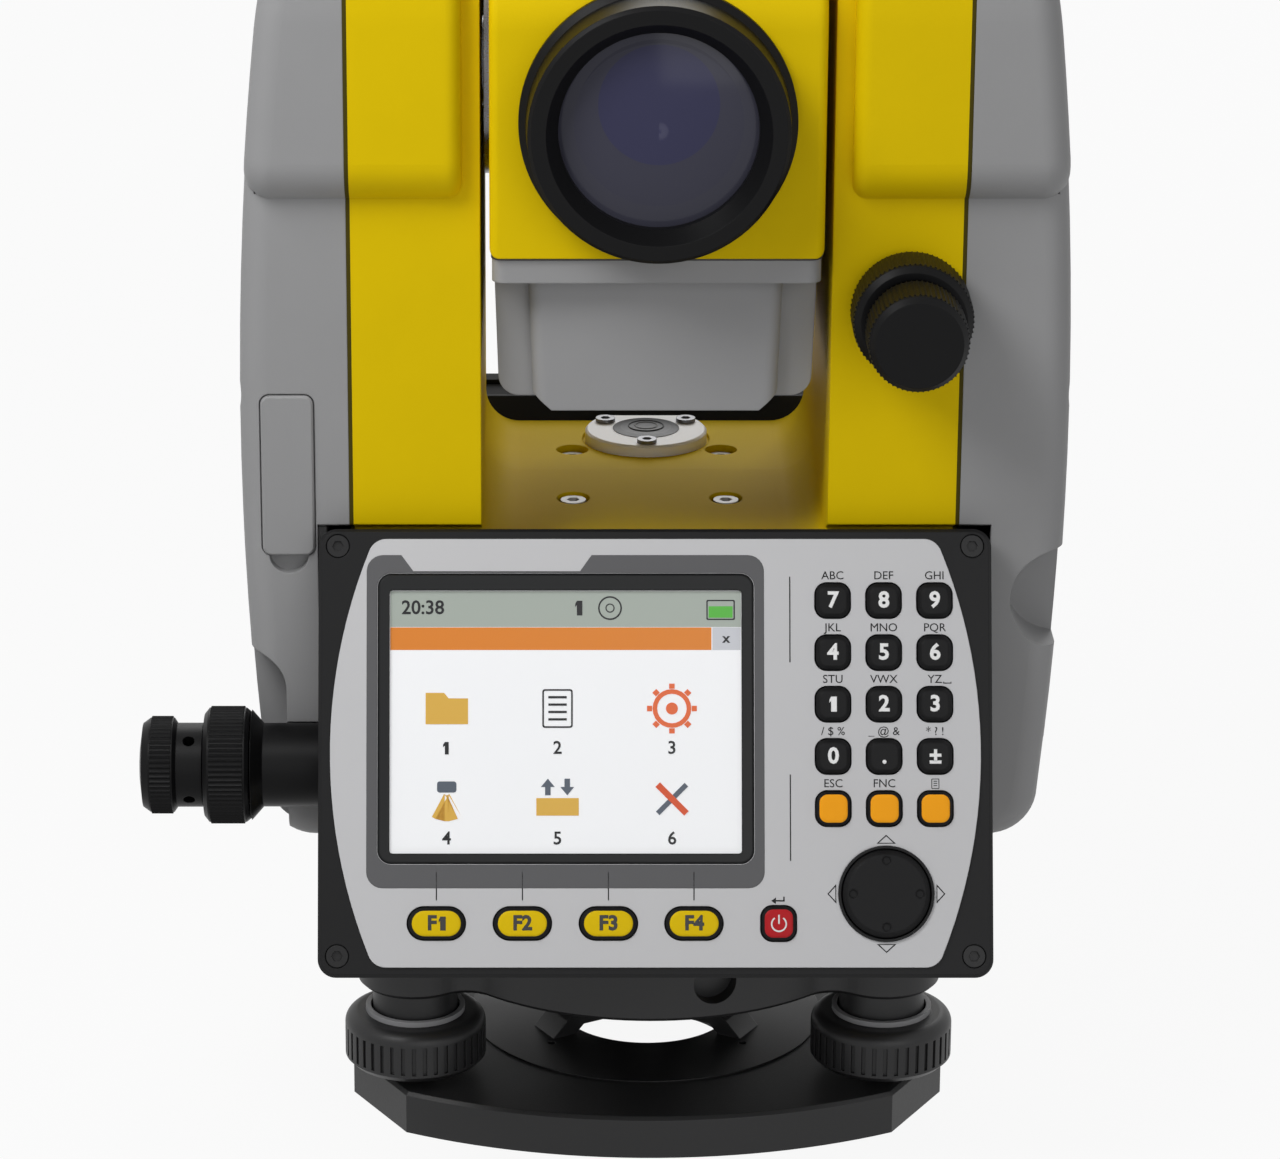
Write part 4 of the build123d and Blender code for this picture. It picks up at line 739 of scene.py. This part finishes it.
# The page's six items, with their numbers, and the signs of the status bar
ITEM_COLUMNS, ITEM_ROWS = (-45.2, -21.2, 3.6), (9.6, -10.0)
items = [(u, w) for w in ITEM_ROWS for u in ITEM_COLUMNS]
FOLDER, SHEET, DIAL, TRIPOD, TRANSFER, TOOLS = items
ITEM_DROP, ITEM_HEIGHT = 8.6, 2.7
STATUS_ROW = 31.4
LEVEL_SIGN, BATTERY_SIGN = (-9.8, STATUS_ROW), (14.2, 31.0)
ink_words = [
    (str(number), u, w - ITEM_DROP, ITEM_HEIGHT, 0.06)
    for number, (u, w) in enumerate(items, start=1)
    if number > 1
]
ink_words += [("20:38", -50.4, STATUS_ROW, 2.9, 0.07), ("x", SCREEN_RIGHT - 3.4, 24.8, 2.0, 0.08)]
ink_shapes = [
    figure_one(FOLDER[0], FOLDER[1] - ITEM_DROP, ITEM_HEIGHT, 0.55),
    figure_one(-16.4, STATUS_ROW, 3.2, 0.8),
]
ink_shapes += [disc(LEVEL_SIGN, width) for width in (5.2, 4.5, 2.0, 1.5)]
ink_shapes += [rounded(BATTERY_SIGN, (6.2, 4.4), 0.3, 2), rounded(BATTERY_SIGN, (5.6, 3.8), 0.2, 2)]
ink_shapes += [rounded(SHEET, (6.6, 8.4), 0.5, 2), rounded(SHEET, (5.9, 7.7), 0.3, 2)]
ink_shapes += [
    box_outline(SHEET[0] - 2.0, SHEET[1] + lift, SHEET[0] + 2.0, SHEET[1] + lift + 0.5)
    for lift in (-2.6, -1.0, 0.6, 2.2)
]
on_screen("screen_ink", ink_shapes, ink_words, INK_TOP, lit("screen_black", srgb(30, 31, 34), 0.0))

folder = [(-4.6, -3.4), (4.6, -3.4), (4.6, 2.2), (0.4, 2.2), (-0.6, 3.4), (-4.6, 3.4)]
tan_shapes = [[(u + FOLDER[0], w + FOLDER[1]) for u, w in folder]]
tripod_top = (TRIPOD[0], TRIPOD[1] + 1.2)
tan_shapes += [spoke(tripod_top, radians(turn), 0.4, 6.0, 0.45) for turn in (-62, -90, -118)]
tan_shapes += [
    box_outline(TRANSFER[0] - 4.6, TRANSFER[1] - 3.6, TRANSFER[0] + 4.6, TRANSFER[1] + 0.2)
]
on_screen("screen_tan", tan_shapes, [], INK_TOP, lit("screen_sand", srgb(214, 170, 74)))
charge = box_outline(11.6, 29.3, 16.8, 31.8)
on_screen("screen_green", [charge], [], INK_TOP, lit("screen_leaf", srgb(84, 176, 62)))
gear = [disc(DIAL, 8.4), disc(DIAL, 6.4)]
gear += [spoke(DIAL, radians(turn), 4.3, 5.4, 0.6) for turn in range(0, 360, 45)]
gear += [disc(DIAL, 2.6)]
on_screen("screen_gear", gear, [], INK_TOP, lit("screen_red", srgb(222, 104, 58)))
steel_shapes = [rounded((TRIPOD[0], TRIPOD[1] + 2.6), (4.2, 2.4), 0.5, 2)]
for side, up in ((-1, 1), (1, -1)):
    u, w = TRANSFER[0] + side * 2.1, TRANSFER[1] + 2.6
    arrow = [
        (u - 0.6, w - up * 1.8), (u + 0.6, w - up * 1.8), (u + 0.6, w), (u + 1.5, w),
        (u, w + up * 1.8), (u - 1.5, w), (u - 0.6, w),
    ]
    steel_shapes.append(arrow[::up])
TOOL_HALF = 4.4
steel_shapes.append(spoke(TOOLS, radians(45), -TOOL_HALF, TOOL_HALF, 0.55))
on_screen("screen_steel", steel_shapes, [], INK_TOP, lit("screen_slate", srgb(84, 92, 104)))
handle_bar = spoke(TOOLS, radians(135), -TOOL_HALF, TOOL_HALF, 0.7)
on_screen("screen_handle", [handle_bar], [], HANDLE_TOP, lit("screen_rust", srgb(208, 82, 44)))

# ---- keypad: keys -------------------------------------------------------------------------------
# Black rubber keys with white numbers. The function keys, ESC, FNC, page and power keys
# have a domed cap of coloured rubber set into the black one.

key_rubber = surface(
    "key_rubber", srgb(21, 21, 22), 0.42, grain=2400, depth=0.008, edge=0.6, Specular_IOR_Level=0.12
)
dress(key_rubber, "nav_pad", *[k for k in nodes if k.startswith("key_")])


CAP_SINK, CAP_RISE = 0.3, 0.22
CAP_PROFILE = (  # inset from the cap's edge, and height above the key
    (0.0, -CAP_SINK), (0.0, 0.0), (0.12, 0.55 * CAP_RISE), (0.4, 0.85 * CAP_RISE), (0.9, CAP_RISE),
)


def domed_cap(name, middle, size, corner, material, slot):
    """A low cushion-shaped cap let into the top of a key."""
    made = bmesh.new()
    rings = []
    for inset, height in CAP_PROFILE:
        level = KEY_TOP + height
        outline = rounded(middle, (size[0] - 2 * inset, size[1] - 2 * inset), max(corner - inset, 0.3), 8)
        rings.append([made.verts.new(PANEL @ (Vector((u, w, level)) * MM)) for u, w in outline])
    for low, high in zip(rings, rings[1:]):
        for near, far in zip(range(len(low)), list(range(1, len(low))) + [0]):
            made.faces.new((low[near], low[far], high[far], high[near]))
    made.faces.new(rings[-1])
    made.faces.new(rings[0][::-1])
    for face in made.faces:
        face.smooth = True
    mesh = bpy.data.meshes.new(name)
    made.to_mesh(mesh)
    made.free()
    return place(f"cap_{name}", mesh, material, name, slot)


def cap_rubber(name, colour, roughness):
    """Coloured rubber of a cap."""
    return surface(
        name, colour, roughness, grain=1800, depth=0.008, mottle=0.03, Specular_IOR_Level=0.12
    )


LONG_CAP, LONG_CORNER = (10.6, 5.5), 2.74
SQUARE_CAP, SQUARE_CORNER = (6.1, 6.1), 1.8
yellow_rubber = cap_rubber("yellow_cap", srgb(226, 192, 4), 0.5)
orange_rubber = cap_rubber("orange_cap", srgb(252, 168, 26), 0.5)
red_rubber = cap_rubber("red_cap", srgb(182, 34, 40), 0.45)
for number, column in enumerate(FUNCTION_COLUMNS, start=1):
    domed_cap(
        f"key_f{number}", (column, FUNCTION_ROW), LONG_CAP, LONG_CORNER, yellow_rubber, "yellow_key_rubber"
    )
for name, column in zip(("key_esc", "key_fnc", "key_page"), NUMBER_COLUMNS):
    domed_cap(
        name, (column, NUMBER_ROWS[4]), SQUARE_CAP, SQUARE_CORNER, orange_rubber, "orange_key_rubber"
    )
domed_cap("key_power", POWER_AT, SQUARE_CAP, SQUARE_CORNER, red_rubber, "red_key_rubber")

white_ink = surface("white_key_ink", srgb(238, 238, 238), 0.4, grain=900, depth=0.0, mottle=0.02)
black_ink = surface("black_key_ink", srgb(20, 20, 21), 0.4, grain=900, depth=0.0, mottle=0.02)
NUMBERS = (("7", "8", "9"), ("4", "5", "6"), ("1", "2", "3"), ("0", ".", "±"))
BODIES = {".": "key_dot", "±": "key_sign"}
FIGURE_HEIGHT, FIGURE_BOLD = 3.3, 0.16
for row, numbers in zip(NUMBER_ROWS, NUMBERS):
    for column, number in zip(NUMBER_COLUMNS, numbers):
        body = BODIES.get(number, f"key_{number}")
        if number == "1":
            shapes, words = [figure_one(column + 0.15, row, FIGURE_HEIGHT, 0.85)], []
        else:
            shapes, words = [], [(number, column, row, FIGURE_HEIGHT, FIGURE_BOLD)]
        printed(f"number_on_{body}", shapes, words, KEY_TOP, white_ink, body, "black_key_rubber")
NAME_HEIGHT, NAME_BOLD = 3.0, 0.17
for number, column in enumerate(FUNCTION_COLUMNS, start=1):
    body = f"key_f{number}"
    if number == 1:
        shapes = [figure_one(column + 1.45, FUNCTION_ROW, NAME_HEIGHT, 0.8)]
        words = [("F", column - 0.95, FUNCTION_ROW, NAME_HEIGHT, NAME_BOLD)]
    else:
        shapes, words = [], [(f"F{number}", column, FUNCTION_ROW, NAME_HEIGHT, NAME_BOLD)]
    printed(f"name_on_{body}", shapes, words, KEY_TOP + CAP_RISE, black_ink, body, "yellow_key_rubber")
SIGN_OUTER, SIGN_INNER, SIGN_DROP = 1.75, 1.4, 0.1
power_ring = [
    (POWER_AT[0] + r * sin(radians(turn)), POWER_AT[1] + r * cos(radians(turn)) - SIGN_DROP)
    for r, turns in ((SIGN_OUTER, range(35, 326, 10)), (SIGN_INNER, range(325, 34, -10)))
    for turn in turns
]
power_bar = box_outline(POWER_AT[0] - 0.18, POWER_AT[1] - 0.1, POWER_AT[0] + 0.18, POWER_AT[1] + 1.9)
printed(
    "sign_on_key_power", [power_ring, power_bar], [], KEY_TOP + CAP_RISE, white_ink, "key_power",
    "red_key_rubber",
)

# ---- drives ------------------------------------------------------------------------------------
# Black anodised knobs and clamp rings. Each grip has a band of fine straight knurls
# rolled round it.

anodised = surface("black_anodised", srgb(13, 13, 14), 0.4, grain=2600, depth=0.006, Specular_IOR_Level=0.12)
dress(anodised, "h_drive_housing", "h_clamp_ring", "h_drive_knob", "v_clamp_ring", "v_drive_knob")
KNURL_PITCH, KNURL_SIZE = 1.1, 0.36
BAND_WALL, BAND_LIFT, BAND_SIDES = 0.8, 0.03, 96


def make_knurl_tree():
    """Geometry Nodes: straight ridges side by side round a band."""
    group = bpy.data.node_groups.new("straight_knurl", "GeometryNodeTree")
    for name, kind in (
        ("Geometry", "NodeSocketGeometry"), ("Radius", "NodeSocketFloat"), ("Length", "NodeSocketFloat"),
        ("Ridges", "NodeSocketInt"), ("Ridge Size", "NodeSocketFloat"), ("Finish", "NodeSocketMaterial"),
    ):
        group_socket(group, name, kind, "INPUT")
    group_socket(group, "Geometry", "NodeSocketGeometry", "OUTPUT")
    add, link = group.nodes.new, group.links.new
    given, out = add("NodeGroupInput"), add("NodeGroupOutput")
    circle, ridge = add("GeometryNodeMeshCircle"), add("GeometryNodeMeshCylinder")
    link(given.outputs["Ridges"], circle.inputs["Vertices"])
    link(given.outputs["Radius"], circle.inputs["Radius"])
    ridge.inputs["Vertices"].default_value = 4
    link(given.outputs["Ridge Size"], ridge.inputs["Radius"])
    link(given.outputs["Length"], ridge.inputs["Depth"])
    where, turn = add("GeometryNodeInputPosition"), add("FunctionNodeAlignRotationToVector")
    turn.axis = "X"
    turn.pivot_axis = "Z"
    link(where.outputs[0], turn.inputs["Vector"])
    spread = add("GeometryNodeInstanceOnPoints")
    link(circle.outputs[0], spread.inputs["Points"])
    link(ridge.outputs["Mesh"], spread.inputs["Instance"])
    link(turn.outputs[0], spread.inputs["Rotation"])
    joined, whole = add("GeometryNodeJoinGeometry"), add("GeometryNodeRealizeInstances")
    painted = add("GeometryNodeSetMaterial")
    link(given.outputs["Geometry"], joined.inputs[0])
    link(spread.outputs[0], joined.inputs[0])
    link(joined.outputs[0], whole.inputs[0])
    link(whole.outputs[0], painted.inputs["Geometry"])
    link(given.outputs["Finish"], painted.inputs["Material"])
    link(painted.outputs[0], out.inputs["Geometry"])
    return group


knurl_tree = make_knurl_tree()


def band_mesh(name, radius, length):
    """A short closed tube about Z, which the ridges stand on."""
    made = bmesh.new()
    half = length / 2
    profile = ((radius - BAND_WALL, -half), (radius, -half), (radius, half), (radius - BAND_WALL, half))
    rings = [
        [made.verts.new(Vector((r * cos(t), r * sin(t), z)) * MM) for r, z in profile]
        for t in (2 * pi * step / BAND_SIDES for step in range(BAND_SIDES))
    ]
    for this, following in zip(rings, rings[1:] + rings[:1]):
        for near, far in ((0, 1), (1, 2), (2, 3), (3, 0)):
            made.faces.new((this[near], following[near], following[far], this[far]))
    bmesh.ops.recalc_face_normals(made, faces=made.faces)
    mesh = bpy.data.meshes.new(name)
    made.to_mesh(mesh)
    made.free()
    return mesh


def knurled(name, grip, out, radius, margin, length):
    """A knurled band round a turned grip, which stops a margin before the grip's outer end."""
    mesh = grown(
        name,
        band_mesh(name, radius + BAND_LIFT, length),
        knurl_tree,
        Radius=radius * MM,
        Length=length * MM,
        Ridges=round(2 * pi * radius / KNURL_PITCH),
        Ridge_Size=KNURL_SIZE * MM,
        Finish=anodised,
    )
    low, high = (Vector(corner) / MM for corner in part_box(grip))
    reach = abs((high - low).dot(out)) / 2
    middle = (low + high) / 2 + out * (reach - margin - length / 2)
    turn = out.to_track_quat("Z", "Y").to_matrix().to_4x4()
    mesh.transform(Matrix.Translation(middle * MM) @ turn)
    place(name, mesh, None, grip, "black_anodised")


V_OUT, H_OUT = Vector((0, -1, 0)), Vector((-1, 0, 0))
CLAMP_RADIUS, KNOB_RADIUS = 12.65, 10.45
knurled("v_ring_knurl", "v_clamp_ring", V_OUT, CLAMP_RADIUS, margin=1.8, length=9.9)
knurled("v_knob_knurl", "v_drive_knob", V_OUT, KNOB_RADIUS, margin=1.8, length=10.8)
knurled("h_ring_knurl", "h_clamp_ring", H_OUT, CLAMP_RADIUS, margin=1.4, length=7.4)
knurled("h_knob_knurl", "h_drive_knob", H_OUT, KNOB_RADIUS, margin=2.7, length=4.6)

# ---- telescope -----------------------------------------------------------------------------------
# Yellow casting with a grey lower cover on a dark gasket, a black lens ring, a coated objective with the
# barrel's rings painted on its glass as they would show through it, and a black focus ring and eyepiece.

SCOPE_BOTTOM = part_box("telescope_housing")[0][2] / MM
SCOPE_WIDTH, SCOPE_LENGTH, SCOPE_CORNER = 71.0, 112.8, 3.0
GASKET_DROP, GASKET_RISE = 0.55, 0.1
AXIS_HEIGHT = box_middle("objective_lens").z

dress(yellow_paint, "telescope_housing")
dress(grey_plastic, "telescope_cover")
dress(anodised, "lens_ring", "focus_ring", "eyepiece")

gasket_rubber = surface("gasket_rubber", srgb(44, 42, 34), 0.6, grain=1500, depth=0.02)
gasket = bmesh.new()
corners = rounded((0, 0), (SCOPE_WIDTH, SCOPE_LENGTH), SCOPE_CORNER)
low, high = (
    [gasket.verts.new(Vector((x, y, z)) * MM) for x, y in corners]
    for z in (SCOPE_BOTTOM - GASKET_DROP, SCOPE_BOTTOM + GASKET_RISE)
)
gasket.faces.new(low[::-1])
gasket.faces.new(high)
for near, far in zip(range(len(low)), list(range(1, len(low))) + [0]):
    gasket.faces.new((low[near], low[far], high[far], high[near]))
gasket_mesh = bpy.data.meshes.new("telescope_gasket")
gasket.to_mesh(gasket_mesh)
gasket.free()
place("telescope_gasket", gasket_mesh, gasket_rubber, "telescope", "black_case_plastic")

coated = surface(
    "coated_lens", srgb(60, 60, 74), 0.12, grain=800, depth=0.0, edge=0.0, mottle=0.0,
    Specular_IOR_Level=0.16,
)
# The glass holds no view of its own: darker, bluer rings are painted on its face to stand in for the barrel
# seen through it. The innermost ring is painted raised above the axis, where the camera sees it.
lens_tree = coated.node_tree
for rise, radius, over, colour in (  # painted rings: the barrel's rings as seen through the glass
    (0.0, 18.6, True, srgb(52, 52, 66)),
    (1.5, 17.9, True, srgb(62, 62, 74)),
    (5.5, 12.8, False, srgb(54, 54, 82)),
):
    from_axis = axis_distance(lens_tree, (0, 0, AXIS_HEIGHT + rise), "Y")
    overlay_finish(coated, beyond(lens_tree, from_axis, radius, over), colour)
dress(coated, "objective_lens")
